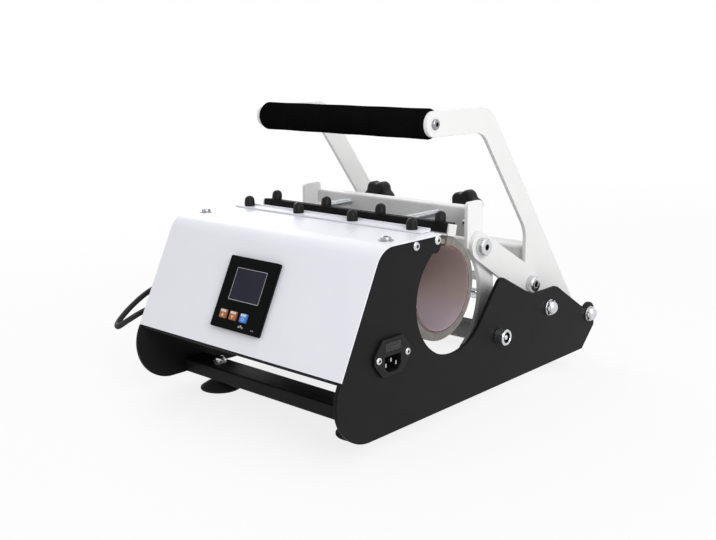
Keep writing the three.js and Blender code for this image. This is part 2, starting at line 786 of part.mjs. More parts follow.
function addKnobs() {
  const hubFrom = bracketFace + bracketThick + seatGap;
  const knobTo = knobFrom + knobDepth;
  const screwTo = knobTo - clampTravel - 4;
  const lobes = Array.from({ length: 8 * knobLobes }, (_, i) => {
    const angle = (2 * Math.PI * i) / (8 * knobLobes);
    const radius = knobRadius - lobeDepth * (1 - Math.cos(knobLobes * angle)) * 0.5;
    return new THREE.Vector2(radius * Math.cos(angle), radius * Math.sin(angle));
  });
  for (const { name, sign } of sides) {
    const x = sign * knobX;
    const screw = turned([
      [0, rearBarFrom + 4],
      [screwRadius, rearBarFrom + 4],
      [screwRadius, screwTo],
      [0, screwTo],
    ]);
    addPiece("knob_screw_" + name, screw, brightSteel).position.set(x, 0, knobZ);
    const star = upZ(lobes, 0, knobDepth).rotateX(-Math.PI / 2).translate(0, knobFrom, 0);
    const hub = tubeAlongY(0, 0, hubRadius, hubFrom, knobFrom + 1);
    const hole = tubeAlongY(0, 0, screwRadius + runGap, hubFrom - 1, knobTo - 2);
    addPiece("star_knob_" + name, cut(join(star, hub), hole), blackPlastic).position.set(x, 0, knobZ);
  }
}

// A bolt through a link, from its nut inside the arms to its head outside the links.
function pinBolt(washerRadius) {
  const inner = armInner - seatGap;
  const outer = linkOuter + seatGap;
  const nut = inner - boltWasherThick;
  const end = nut - boltNutHeight;
  return turned([
    [0, end],
    [washerRadius * 0.6, end],
    [washerRadius * 0.6, nut],
    [washerRadius, nut],
    [washerRadius, inner],
    [pinRadius, inner],
    [pinRadius, outer],
    [boltHead.radius, outer],
    [boltHead.radius, outer + boltHead.height],
    [boltHead.socket, outer + boltHead.height],
    [boltHead.socket, outer + boltHead.height - boltHead.depth],
    [0, outer + boltHead.height - boltHead.depth],
  ]);
}

function addLinks() {
  const run = Math.atan2(armLinkPin[1] - frameLinkPin[1], armLinkPin[0] - frameLinkPin[0]);
  const turn = THREE.MathUtils.radToDeg(run);
  const length = Math.hypot(armLinkPin[0] - frameLinkPin[0], armLinkPin[1] - frameLinkPin[1]);
  const lean = THREE.MathUtils.radToDeg(Math.asin((linkArmEnd - linkFrameEnd) / length));
  const points = outline(
    arc(frameLinkPin, linkFrameEnd, turn + 90 + lean, turn + 270 - lean),
    arc(armLinkPin, linkArmEnd, turn - 90 - lean, turn + 90 + lean),
  );
  const holes = [bore(frameLinkPin, pinRadius + runGap), bore(armLinkPin, pinRadius + seatGap)];
  for (const { name, sign } of sides) {
    addPiece("link_" + name, flatOnSide(points, sign, linkInner, armThick, holes), paintWhite);
    layAlongX(addPiece("link_frame_bolt_" + name, pinBolt(frameBoltWasher), brightSteel), sign, frameLinkPin);
    layAlongX(addPiece("link_arm_bolt_" + name, pinBolt(armBoltWasher), brightSteel), sign, armLinkPin);
  }
}

function addHandle() {
  const [gripY, gripZ] = gripCentre;
  const slant = THREE.MathUtils.degToRad(armSlope);
  const normal = armSlope + 90;
  const across = THREE.MathUtils.degToRad(normal);
  const top = gripZ + gripEndRadius;
  const under = gripZ - gripEndRadius;
  // A point at height z on a line beside the handle pivot, along the arm's slope.
  const edge = (offset, z) => {
    const y = handlePivot[0] + offset * Math.cos(across);
    const base = handlePivot[1] + offset * Math.sin(across);
    return [y + (z - base) / Math.tan(slant), z];
  };
  const inner = armFoot - armWidth;
  const frontEdge = armLinkPin[0] - 3;
  const innerDrop = edge(inner, armLinkPin[1] + 60);
  const bendZ = innerDrop[1] + (frontEdge - innerDrop[0]) * Math.tan(slant);
  const lower = THREE.MathUtils.radToDeg(
    Math.atan2(handlePivot[1] - armLinkPin[1], handlePivot[0] - armLinkPin[0]),
  );
  const points = outline(
    arc(gripCentre, gripEndRadius, 90, 270),
    [...edge(inner, under), 10],
    [frontEdge, bendZ, 30],
    arc(armLinkPin, armBoss, 104, lower + 270),
    arc(handlePivot, armFoot, lower - 90, normal),
    [...edge(armFoot, top), 18],
  );
  const [pinY, pinZ] = armLinkPin;
  const slot = outline(
    arc([pinY, pinZ - slotDrop], slotRadius, 90, 270),
    arc([pinY + slotRun, pinZ - slotDrop], slotRadius, -90, 90),
  );
  const holes = [
    bore(gripCentre, gripRodRadius + seatGap),
    bore(handlePivot, pivotRadius + runGap),
    slot,
  ];
  for (const { name, sign } of sides) {
    addPiece("handle_arm_" + name, flatOnSide(points, sign, armInner, armThick, holes), paintWhite);
  }
  const foam = turned([
    [gripRodRadius + seatGap, -betweenArms],
    [gripRadius - 2, -betweenArms],
    [gripRadius, -betweenArms + 2],
    [gripRadius, betweenArms - 2],
    [gripRadius - 2, betweenArms],
    [gripRodRadius + seatGap, betweenArms],
    [gripRodRadius + seatGap, -betweenArms],
  ]);
  layAlongX(addPiece("handle_grip", foam, blackFoam), 1, gripCentre);
  const rod = rodWithEnds(gripRodRadius, armOuter + seatGap, [
    [gripScrewRadius, 0],
    [gripScrewRadius, 1.5],
    [gripScrewRadius - 1.5, 3],
    [gripScrewRadius / 3, 3],
    [gripScrewRadius / 3, 1],
    [0, 1],
  ]);
  layAlongX(addPiece("grip_rod", rod, brightSteel), 1, gripCentre);
  const channel = [
    [tieFace, tieTop - tieHeight],
    [tieFace, tieTop, tieThick],
    [tieFace + tieDepth, tieTop, tieThick],
    [tieFace + tieDepth, tieTop - tieHeight],
  ];
  const tie = acrossX(bentSheet(channel, tieThick), -betweenArms, 2 * betweenArms);
  addPiece("handle_cross_tie", tie, paintWhite);
}

function addLead() {
  const grommet = turned([
    [0, innerHalf - grommetDepth],
    [grommetFlange, innerHalf - grommetDepth],
    [grommetFlange, innerHalf - seatGap],
    [grommetHole - seatGap, innerHalf - seatGap],
    [grommetHole - seatGap, plateOuter + seatGap],
    [grommetFlange, plateOuter + seatGap],
    [grommetFlange - 2, plateOuter + grommetDepth],
    [0, plateOuter + grommetDepth],
  ]);
  layAlongX(addPiece("lead_grommet", grommet, blackRubber), -1, grommetAt);
  const exit = wrapArc((wrapInner + wrapOuter) / 2, leadExitAngle, leadExitAngle + 1)[0];
  const path = [
    [-wrapHalf - seatGap, exit.x, exit.y],
    [-148, exit.x, exit.y],
    [-166, 117, 101],
    [-180, 101, 98.5],
    [-190, 78, 91.5],
    [-196, 54, 82],
    [-200, 30, 66],
    [-199, 15, 54],
    [-189, 9, 53.5],
    [-176, 13, 62],
    [-169, 27, 70],
    [-170, 45, 72.5],
    [-170, 60, 72.3],
    [-165.6, 70.6, 72],
    [-155, ...grommetAt],
    [-plateOuter - grommetDepth - seatGap, ...grommetAt],
  ].map((point) => new THREE.Vector3(...point));
  const route = new THREE.CatmullRomCurve3(path, false, "centripetal");
  const section = new THREE.Shape(
    Array.from({ length: 8 }, (_, i) => {
      const angle = (Math.PI * i) / 4;
      return new THREE.Vector2(leadRadius * Math.cos(angle), leadRadius * Math.sin(angle));
    }),
  );
  const steps = Math.round(route.getLength() / (4 * leadRadius));
  const lead = new THREE.ExtrudeGeometry(section, { steps, extrudePath: route, bevelEnabled: false });
  addPiece("heater_lead", lead, blackRubber);
}

addSidePlates();
addShafts();
addCrossmember("front_crossmember", frontBeamFace);
addCrossmember("rear_crossmember", rearBeamFace);
addFeet();
addCover();
addTray();
addController();
addInlet();
addBoard();
addWrap();
addClampRows();
addPressFrame();
addKnobs();
addLinks();
addHandle();
addLead();

export default press;
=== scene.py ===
# Dresses the mug heat press: finer pieces and finishes over the solids, in the same frame.
import bmesh
import bpy
import numpy as np
from math import cos, radians, sin
from mathutils import Matrix, Vector
from mathutils.geometry import tessellate_polygon


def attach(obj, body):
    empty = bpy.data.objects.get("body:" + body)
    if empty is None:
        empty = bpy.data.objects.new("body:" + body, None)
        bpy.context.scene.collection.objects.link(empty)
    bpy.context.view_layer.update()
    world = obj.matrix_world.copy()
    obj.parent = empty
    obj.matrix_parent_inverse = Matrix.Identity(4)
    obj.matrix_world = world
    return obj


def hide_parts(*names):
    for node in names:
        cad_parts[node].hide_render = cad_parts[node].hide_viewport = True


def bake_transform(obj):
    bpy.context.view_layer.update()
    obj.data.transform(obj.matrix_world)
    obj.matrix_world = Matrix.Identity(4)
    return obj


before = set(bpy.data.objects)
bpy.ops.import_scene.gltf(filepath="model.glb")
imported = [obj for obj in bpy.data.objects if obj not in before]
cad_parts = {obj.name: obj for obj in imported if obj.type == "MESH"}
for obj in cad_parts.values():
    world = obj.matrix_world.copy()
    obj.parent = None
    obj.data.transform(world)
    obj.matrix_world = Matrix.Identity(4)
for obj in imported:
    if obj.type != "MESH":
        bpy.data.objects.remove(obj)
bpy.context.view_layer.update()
print("frame loaded")

# Millimetres below: x across the press, y from the side plates' front edge, z from their lower edge
plateFront, plateLift = 222.6, 13.0


def toRow(points):
    # row metres are (x, y - plateFront, z + plateLift) / 1000
    return (np.asarray(points, float) - (0, plateFront, -plateLift)) / 1000


# The camera stands where the picture was taken from
shot = {"lens": 48.93, "sensor": 36.0, "yaw": 42.25, "pitch": 12.58, "roll": -0.44,
        "place": (0.6883, -0.7919, 0.3545)}


def addObject(name, data):
    thing = bpy.data.objects.new(name, data)
    bpy.context.scene.collection.objects.link(thing)
    return thing


def placeCamera():
    yaw, pitch, roll = (radians(shot[key]) for key in ("yaw", "pitch", "roll"))
    ahead = Vector((-sin(yaw) * cos(pitch), cos(yaw) * cos(pitch), -sin(pitch)))
    right = Vector((cos(yaw), sin(yaw), 0))
    up = right.cross(ahead)
    axes = (cos(roll) * right + sin(roll) * up, cos(roll) * up - sin(roll) * right, -ahead)
    camera = addObject("camera", bpy.data.cameras.new("camera"))
    camera.data.lens, camera.data.sensor_width = shot["lens"], shot["sensor"]
    camera.matrix_world = Matrix.Translation(Vector(shot["place"])) @ Matrix(axes).transposed().to_4x4()
    bpy.context.scene.camera = camera


placeCamera()
print("camera placed")


# Finishes

def feed(owner, socket, value):
    # a link where the value is another node's output, else the socket's own value
    if isinstance(value, bpy.types.NodeSocket):
        owner.node_tree.links.new(value, socket)
    else:
        socket.default_value = (*value, 1) if socket.type == "RGBA" else value


def addNode(owner, kind, **values):
    # each value is one of the node's settings, or else goes to the input of that name
    node = owner.node_tree.nodes.new("ShaderNode" + kind)
    for key, value in values.items():
        if hasattr(node, key):
            setattr(node, key, value)
        else:
            feed(owner, node.inputs[key.replace("_", " ")], value)
    return node


def setShader(material, **values):
    shader = material.node_tree.nodes["Principled BSDF"]
    for key, value in values.items():
        feed(material, shader.inputs[key.replace("_", " ")], value)


def mixColours(material, *values):
    # the share of the second colour, the first colour and the second one
    mix = addNode(material, "Mix", data_type="RGBA")
    for number, value in zip((0, 6, 7), values):
        feed(material, mix.inputs[number], value)
    return mix.outputs[2]


def maths(owner, operation, *values):
    node = addNode(owner, "Math", operation=operation)
    for socket, value in zip(node.inputs, values):
        feed(owner, socket, value)
    return node.outputs[0]


def ramp(owner, value, start, end, first=0.0, last=1.0, kind="LINEAR"):
    # from first to last while the value goes from start to end
    return addNode(owner, "MapRange", Value=value, From_Min=start, From_Max=end, To_Min=first, To_Max=last,
                   interpolation_type=kind).outputs["Result"]


def noise(material, place, scale, detail=3.0, rough=0.5):
    return addNode(material, "TexNoise", Vector=place, Scale=scale, Detail=detail,
                   Roughness=rough).outputs["Fac"]


def relief(material, height, strength, depth):
    return addNode(material, "Bump", Height=height, Strength=strength, Distance=depth).outputs["Normal"]


def objectPlace(material):
    return addNode(material, "TexCoord").outputs["Object"]


def objectHeight(material):
    return addNode(material, "SeparateXYZ", Vector=objectPlace(material)).outputs["Z"]


finishes = {}  # each finish's material, and the record's slot that it is taken from


def plainFinish(name, slot, colour, second, rough, grain=400.0, stretch=(1, 1, 1), metal=0.0, bump=0.1,
                depth=0.0002, coat=0.0, patch=22.0, specular=0.5):
    # colour drifts to the second one in soft patches, roughness and height follow a finer grain
    material = bpy.data.materials.new(name)
    material.use_nodes = True
    finishes[name] = material, slot
    colour, second = np.broadcast_to(colour, 3), np.broadcast_to(second, 3)
    place = objectPlace(material)
    fine = noise(material, addNode(material, "Mapping", Vector=place, Scale=stretch).outputs["Vector"], grain,
                 4.0, 0.62)
    drift = ramp(material, noise(material, place, patch, 3.0, 0.6), 0.3, 0.7)
    setShader(material, Metallic=metal, Coat_Weight=coat, Coat_Roughness=0.12, Specular_IOR_Level=specular,
              Base_Color=mixColours(material, drift, colour, second),
              Roughness=ramp(material, fine, 0.3, 0.7, *rough), Normal=relief(material, fine, bump, depth))
    return material


# Each finish: the record's slot, two colours (one number is a grey), roughness from and to, and the rest
finishTable = {
    "charcoal_coat": ("black_paint", (0.0098, 0.0098, 0.0102), (0.008, 0.008, 0.0083), (0.45, 0.6),
                      dict(grain=1500, bump=0.16, depth=0.0003, specular=0.11)),
    # the plates' edge walls, a darker black than their faces: painted shade
    "edge_painted_shade": ("black_paint", 0.003, 0.005, (0.4, 0.6), dict(grain=1500, specular=0.1)),
    "white_coat": ("white_paint", (0.77, 0.772, 0.83), (0.75, 0.752, 0.81), (0.3, 0.42),
                   dict(grain=1100, bump=0.08, specular=0.35)),
    "arm_coat": ("white_paint", (0.78, 0.78, 0.775), (0.755, 0.755, 0.75), (0.3, 0.42),
                 dict(grain=1100, bump=0.08, specular=0.35)),
    "zinc_steel": ("bright_steel", (0.72, 0.73, 0.74), (0.6, 0.61, 0.63), (0.16, 0.3),
                   dict(grain=700, metal=1.0, bump=0.05, patch=90)),
    "dull_steel": ("bright_steel", (0.42, 0.43, 0.44), (0.3, 0.31, 0.33), (0.24, 0.36),
                   dict(grain=700, metal=1.0, bump=0.08, patch=120)),
    # the recess finish: near-black for the inside of sockets and recesses, painted shade
    "recess_painted_shade": ("bright_steel", (0.012, 0.012, 0.013), 0.02, (0.35, 0.5), dict(metal=0.6)),
    "moulded_black": ("black_plastic", (0.004, 0.004, 0.0045), 0.007, (0.38, 0.55),
                      dict(grain=1800, bump=0.2, specular=0.2)),
    "gloss_black": ("black_plastic", (0.0025, 0.0028, 0.003), (0.004, 0.0042, 0.0045), (0.2, 0.3),
                    dict(grain=90, bump=0.02, specular=0.02)),
    "rubber_black": ("black_rubber", 0.009, (0.014, 0.014, 0.013), (0.6, 0.78),
                     dict(grain=900, bump=0.18, depth=0.0003, specular=0.3)),
    "brushed_steel": ("brushed_steel", (0.56, 0.57, 0.58), (0.46, 0.47, 0.48), (0.26, 0.42),
                      dict(grain=260, stretch=(0.06, 2.5, 2.5), metal=1.0, bump=0.12, depth=0.0001,
                           patch=14)),
    "pale_plastic": ("white_paint", (0.74, 0.74, 0.73), (0.68, 0.68, 0.67), (0.4, 0.5), dict(grain=900)),
    "screen_slate": ("screen", (0.016, 0.017, 0.029), (0.02, 0.021, 0.036), (0.1, 0.16),
                     dict(grain=60, bump=0.01, patch=30, specular=0.06)),
    "key_orange": ("orange_key", (0.34, 0.115, 0.038), (0.28, 0.09, 0.03), (0.4, 0.55),
                   dict(grain=900, specular=0.3)),
    "key_blue": ("blue_key", (0.033, 0.165, 0.6), (0.028, 0.135, 0.52), (0.35, 0.5), dict(grain=900)),
    "key_pale": ("orange_key", (0.6, 0.58, 0.56), 0.5, (0.4, 0.5), dict(grain=900)),
    "board_green": ("circuit_board", (0.012, 0.1, 0.03), (0.02, 0.13, 0.04), (0.3, 0.45),
                    dict(grain=500, bump=0.06)),
    "insulation": ("silicone", (0.25, 0.235, 0.215), (0.17, 0.165, 0.155), (0.75, 0.9),
                   dict(grain=1400, bump=0.5, depth=0.0006, patch=160, specular=0.25)),
    "liner_edge": ("silicone", (0.13, 0.022, 0.014), (0.07, 0.014, 0.01), (0.5, 0.65),
                   dict(grain=900, patch=120, specular=0.2)),
    "frame_pale": ("black_plastic", (0.3, 0.3, 0.31), (0.22, 0.22, 0.23), (0.3, 0.4), dict(grain=900)),
    "mark_pale": ("black_plastic", (0.35, 0.35, 0.32), (0.25, 0.25, 0.24), (0.4, 0.5), dict(grain=900)),
    "key_orange_light": ("orange_key", (0.74, 0.46, 0.3), (0.66, 0.38, 0.24), (0.35, 0.5), dict(grain=900)),
    "key_blue_light": ("blue_key", (0.3, 0.48, 0.85), (0.25, 0.42, 0.8), (0.35, 0.5), dict(grain=900)),
    "drawer_grey": ("black_plastic", (0.02, 0.02, 0.021), (0.026, 0.026, 0.027), (0.4, 0.55),
                    dict(grain=1500, bump=0.15)),
    "heater_skin": ("silicone", (0.3, 0.29, 0.27), (0.24, 0.235, 0.22), (0.5, 0.65),
                    dict(grain=1200, bump=0.2)),
    "tongue_brown": ("silicone", (0.2, 0.06, 0.04), (0.15, 0.05, 0.035), (0.5, 0.65), dict(grain=900)),
    "bar_black": ("black_paint", (0.008, 0.008, 0.009), (0.02, 0.02, 0.022), (0.5, 0.7),
                  dict(grain=1300, bump=0.2, patch=55, specular=0.05)),
    "bracket_grey": ("brushed_steel", 0.76, (0.68, 0.68, 0.69), (0.35, 0.5),
                     dict(grain=500, stretch=(0.1, 2, 2), metal=0.15, bump=0.08)),
}
for name, (*row, values) in finishTable.items():
    plainFinish(name, *row, **values)
print("finishes mixed")


# Shapes: each is its points, its faces and the number of its finish

def roundPoints(centre, radius, degrees):
    # centre plus radius times the cosine and sine of each angle
    angle = np.radians(degrees)
    return np.column_stack((centre[0] + radius * np.cos(angle), centre[1] + radius * np.sin(angle)))


def arcRun(centre, radius, start, end, step=4.0):
    return roundPoints(centre, radius, np.linspace(start, end, max(2, int(abs(end - start) / step) + 1)))


def ringStrip(centre, near, far, start, end, step=2.5):
    # one arc out and a wider or narrower one back
    return np.vstack((arcRun(centre, near, start, end, step), arcRun(centre, far, end, start, step)))


def asRows(run):
    # one point or several, each with its rounding, which is 0 where none is given
    points = [run] if np.ndim(run[0]) == 0 else run
    return np.array([(*point, 0.0)[:3] for point in points])


def unit(vectors):
    return vectors / np.maximum(np.linalg.norm(vectors, axis=-1, keepdims=True), 1e-9)


def apart(points, closed):
    gap = np.linalg.norm(points - np.roll(points, 1, axis=0), axis=1)
    if not closed:
        gap[0] = 1
    return points[gap > 1e-4]


def outline(*runs, closed=True, steps=7):
    # a corner (a, b, rounding) turns into an arc that starts rounding * tan(half the turn) before it
    rows = np.vstack([asRows(run) for run in runs])
    rows = rows[np.linalg.norm(rows[:, :2] - np.roll(rows[:, :2], 1, axis=0), axis=1) > 1e-4]
    point, rounding = rows[:, :2], rows[:, 2]
    into = unit(point - np.roll(point, 1, axis=0))
    out = np.roll(into, -1, axis=0)
    turn = np.arctan2(into[:, 0] * out[:, 1] - into[:, 1] * out[:, 0], (into * out).sum(axis=1))
    start = point - into * (rounding * np.tan(np.abs(turn) / 2))[:, None]
    normal = np.column_stack((-into[:, 1], into[:, 0]))
    arm = normal * (rounding * np.sign(turn))[:, None]
    angle = turn[:, None] * np.linspace(0, 1, steps)
    c, s = np.cos(angle), np.sin(angle)
    x, y = -arm[:, :1], -arm[:, 1:]
    bend = np.stack((c * x - s * y, s * x + c * y), axis=-1)
    points = ((start + arm)[:, None] + bend).reshape(-1, 2)
    return apart(points, closed)


def rectangle(centre, size, rounding=0.0):
    (a, b), (w, h) = centre, (size[0] / 2, size[1] / 2)
    return outline((a - w, b - h, rounding), (a + w, b - h, rounding), (a + w, b + h, rounding),
                   (a - w, b + h, rounding))


def circle(centre, radius, step=7.5):
    return arcRun(centre, radius, 0, 360 - step, step)


def strip(path, thick):
    # a bent sheet's section: the path, and the same path thick to its left, back again
    path = np.asarray(path, float)
    along = unit(np.diff(path, axis=0))
    before, after = np.vstack((along[:1], along)), np.vstack((along, along[-1:]))
    mitre = np.column_stack((-(before + after)[:, 1], (before + after)[:, 0]))
    mitre /= (1 + (before * after).sum(axis=1))[:, None]
    return np.vstack((path, (path + mitre * thick)[::-1]))


def inset(loop, depth):
    # every point moves left along its mitre: both edges' normals over one plus their dot product
    before = unit(loop - np.roll(loop, 1, axis=0))
    after = np.roll(before, -1, axis=0)
    mitre = np.column_stack((-(before + after)[:, 1], (before + after)[:, 0]))
    return loop + mitre * depth / np.maximum(1 + (before * after).sum(axis=1), 0.3)[:, None]


def signedArea(loop):
    return 0.5 * np.sum(loop[:, 0] * np.roll(loop[:, 1], -1) - loop[:, 1] * np.roll(loop[:, 0], -1))


def laid(a, b, along, axis):
    # two lengths across an axis and one along it, in the order x, y, z
    a, b, along = np.broadcast_arrays(a, b, along)
    order = {"x": (along, a, b), "y": (a, along, b), "z": (a, b, along)}[axis]
    return np.stack(order, axis=-1)


def grid(points, finish=0, closeColumns=True):
    # quads between neighbouring rows and columns of an array of points
    rows, columns = points.shape[:2]
    a = np.arange(rows - 1)[:, None]
    b = np.arange(columns if closeColumns else columns - 1)[None, :]
    c, d = a + 1, (b + 1) % columns
    quads = np.stack((a * columns + b, a * columns + d, c * columns + d, c * columns + b), axis=-1)
    return points.reshape(-1, 3), quads.reshape(-1, 4), finish


def plate(loops, near, far, edge=0.4, axis="x", finish=0, rim=None):
    # each loop is carried through a quarter-round, a wall and a quarter-round; faces fill what is between
    profile = np.array(((1, 0), (0.3, 0.3), (0, 1), (0, -1), (0.3, -0.3), (1, 0))) * edge
    heights = np.where(np.arange(6) < 3, min(near, far), max(near, far)) + profile[:, 1]
    shapes, faces = [], []
    for number, loop in enumerate(loops):
        loop = np.asarray(loop, float)
        if (signedArea(loop) > 0) != (number == 0):
            loop = loop[::-1]
        rings = np.array([inset(loop, depth) for depth in profile[:, 0]])
        shapes.append(grid(laid(rings[..., 0], rings[..., 1], heights[:, None], axis),
                           finish if rim is None else rim))
        faces.append(rings[0])
    flat = np.vstack(faces)
    filled = np.array(tessellate_polygon([[Vector((a, b, 0)) for a, b in ring] for ring in faces]))
    for height in (heights[0], heights[-1]):
        shapes.append((laid(flat[:, 0], flat[:, 1], height, axis), filled, finish))
    return shapes


def bentSheet(path, thick, half, edge, finish=0):
    # as wide as half on both sides of the middle
    return plate([strip(path, thick)], -half, half, edge, finish=finish)


def turned(profile, centre=(0, 0), axis="x", sides=40, finish=0, hexed=(), lobes=None):
    # a profile of (radius, height) carried round its axis; rows named in hexed follow a hexagon's sides
    profile = np.asarray(profile, float)
    angle = np.linspace(0, 2 * np.pi, sides, endpoint=False)
    radius = np.repeat(profile[:, :1], sides, axis=1)
    radius[list(hexed)] *= np.cos(np.pi / 6) / np.cos(angle % (np.pi / 3) - np.pi / 6)
    if lobes is not None:
        radius = lobes(radius, angle)
    a, b = centre[0] + radius * np.cos(angle), centre[1] + radius * np.sin(angle)
    return [grid(laid(a, b, profile[:, 1:], axis), finish)]


def domed(radius, start, height, steps=6):
    # quarter of an ellipse from the rim up to the axis
    angle = np.linspace(0, np.pi / 2, steps)
    return np.column_stack((radius * np.cos(angle), start + height * np.sin(angle)))


def softened(profile, rounding, steps=4):
    # an open profile whose corners between its ends are rounded
    profile = asRows(profile)
    profile[1:-1, 2] = np.where(profile[1:-1, 2] > 0, profile[1:-1, 2], rounding)
    return outline(profile, closed=False, steps=steps)


def moved(shapes, place):
    return [(place(points), faces, finish) for points, faces, finish in shapes]


def mirrored(shapes):
    return moved(shapes, lambda points: points * (-1, 1, 1))


def tipped(shapes, pivot, lean):
    # turned about the X line through pivot (y, z), its top towards the rear by lean degrees
    c, s = cos(radians(lean)), sin(radians(lean))

    def place(points):
        y, z = points[..., 1] - pivot[0], points[..., 2] - pivot[1]
        return np.stack((points[..., 0], pivot[0] + c * y + s * z, pivot[1] + c * z - s * y), axis=-1)

    return moved(shapes, place)


def modify(piece, name, kind, **values):
    modifier = piece.modifiers.new(name, kind)
    for key, value in values.items():
        setattr(modifier, key, value)


def sew(mesh, gap, sharp, closing=False):
    # merges points that lie together, closes open ends or drops empty faces, and turns all faces outwards
    work = bmesh.new()
    work.from_mesh(mesh)
    bmesh.ops.remove_doubles(work, verts=work.verts, dist=gap)
    if closing:
        bmesh.ops.holes_fill(work, edges=[edge for edge in work.edges if edge.is_boundary], sides=0)
    else:
        bmesh.ops.dissolve_degenerate(work, edges=work.edges, dist=1e-7)
    bmesh.ops.recalc_face_normals(work, faces=work.faces)
    work.to_mesh(mesh)
    work.free()
    mesh.shade_smooth()
    mesh.set_sharp_from_angle(angle=radians(sharp))


def addPiece(name, shapes, finish, stands=(), body="base", sharp=35.0, weighted=True):
    points, faces, marks, count = [], [], [], 0
    for place, quads, mark in shapes:
        points.append(place)
        faces += (quads + count).tolist()
        marks += [mark] * len(quads)
        count += len(place)
    mesh = bpy.data.meshes.new(name)
    mesh.from_pydata(toRow(np.vstack(points)).tolist(), [], faces)
    mesh.polygons.foreach_set("material_index", np.array(marks, dtype=np.int32))
    sew(mesh, 2e-6, sharp)
    chosen = [finishes[key] for key in ([finish] if isinstance(finish, str) else finish)]
    for material, _ in chosen:
        mesh.materials.append(material)
    piece = addObject(name, mesh)
    if weighted:
        modify(piece, "face_normals", "WEIGHTED_NORMAL", keep_sharp=True)
    if body:
        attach(piece, body)
    if stands:
        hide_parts(*([stands] if isinstance(stands, str) else stands))
    return piece


def addPair(name, shapes, finish, stands, body="base", **how):
    # the same piece on both sides of the press, the left one mirrored
    for hand, made in (("left", mirrored(shapes)), ("right", shapes)):
        addPiece(name + "_" + hand, made, finish, stands + "_" + hand, body, **how)


# Heater lead: out of the heater's left end, in a loose bow and back into the left plate
leadWork = {"diameter": 6.0, "sides": 14, "strands": 8, "weave": 0.003}
leadPoints = ((-131.8, 122.12, 100.93), (-148, 122.12, 100.93), (-166, 117, 101), (-180, 101, 98.5),
              (-190, 78, 91.5), (-196, 54, 82), (-200, 30, 66), (-199, 15, 54), (-189, 9, 53.5),
              (-176, 13, 62), (-169, 27, 70), (-170, 45, 72.5), (-170, 60, 72.3), (-165.6, 70.6, 72),
              (-155, 75, 72), (-148.3, 75, 72))


def smoothRoute(points, perSpan=12):
    # centripetal Catmull-Rom: knots grow by the root of each span, tangents come from the spans on both sides
    points = np.asarray(points, float)
    points = np.vstack((2 * points[0] - points[1], points, 2 * points[-1] - points[-2]))
    knot = np.sqrt(np.linalg.norm(np.diff(points, axis=0), axis=1))[:, None]
    p0, p1, p2, p3 = points[:-3], points[1:-2], points[2:-1], points[3:]
    k0, k1, k2 = knot[:-2], knot[1:-1], knot[2:]
    m1 = ((p1 - p0) / k0 - (p2 - p0) / (k0 + k1) + (p2 - p1) / k1) * k1
    m2 = ((p2 - p1) / k1 - (p3 - p1) / (k1 + k2) + (p3 - p2) / k2) * k1
    t = np.linspace(0, 1, perSpan, endpoint=False)[:, None, None]
    spans = ((2 * t**3 - 3 * t**2 + 1) * p1 + (t**3 - 2 * t**2 + t) * m1 + (3 * t**2 - 2 * t**3) * p2
             + (t**3 - t**2) * m2)
    return np.vstack((spans.transpose(1, 0, 2).reshape(-1, 3), points[-2]))


def swept(route, radius, sides):
    # a circle carried along a route: across is the tangent turned level, up is square to both
    tangent = unit(np.gradient(route, axis=0))
    across = unit(np.cross(tangent, (0, 0, 1)))
    up = np.cross(across, tangent)
    angle = np.linspace(0, 2 * np.pi, sides + 1)[None, :, None]
    ring = np.cos(angle) * across[:, None] + np.sin(angle) * up[:, None]
    return grid(route[:, None] + ring * radius, closeColumns=False)


def braidFinish(name):
    # two sets of strands cross at an angle round the sleeve, from the piece's own map
    material = plainFinish(name, "black_rubber", (0.008, 0.008, 0.009), (0.02, 0.02, 0.021), (0.55, 0.75),
                           grain=900, specular=0.3)
    split = addNode(material, "SeparateXYZ", Vector=addNode(material, "UVMap", uv_map="sleeve").outputs["UV"])
    along = maths(material, "MULTIPLY", split.outputs["X"], 2 * np.pi / leadWork["weave"])
    strands = [maths(material, "MULTIPLY_ADD", split.outputs["Y"], turn * leadWork["strands"] * 2 * np.pi,
                     along) for turn in (-1, 1)]
    height = maths(material, "MAXIMUM", *(maths(material, "SINE", strand) for strand in strands))
    # painted shade: darker in the hollows between the strands, lighter on their crowns
    tint = mixColours(material, ramp(material, height, -0.4, 1.0), (0.003, 0.003, 0.003),
                      (0.022, 0.022, 0.023))
    setShader(material, Base_Color=tint, Normal=relief(material, height, 0.5, 0.0004))
    return material


def mapMesh(mesh, name, values):
    # one pair of numbers for each point, written to every corner that uses it
    corner = np.empty(len(mesh.loops), dtype=np.int32)
    mesh.loops.foreach_get("vertex_index", corner)
    mesh.uv_layers.new(name=name).data.foreach_set("uv", values[corner].astype(np.float32).ravel())


def makeLead():
    route, sides = smoothRoute(leadPoints), leadWork["sides"]
    place, quads, _ = swept(route, leadWork["diameter"] / 2, sides)
    mesh = bpy.data.meshes.new("heater_lead_sleeve")
    mesh.from_pydata(toRow(place).tolist(), [], quads.tolist())
    piece = addObject("heater_lead_sleeve", mesh)
    along = np.concatenate(((0,), np.cumsum(np.linalg.norm(np.diff(route, axis=0), axis=1)))) / 1000
    around = np.linspace(0, 1, sides + 1)
    mapMesh(mesh, "sleeve", np.stack(np.meshgrid(along, around, indexing="ij"), axis=-1).reshape(-1, 2))
    sew(mesh, 1e-5, 50, closing=True)
    mesh.materials.append(braidFinish("braided_sleeve"))
    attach(piece, "base")
    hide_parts("heater_lead")
    rowRoute = toRow(route)


makeLead()
print("lead laid")


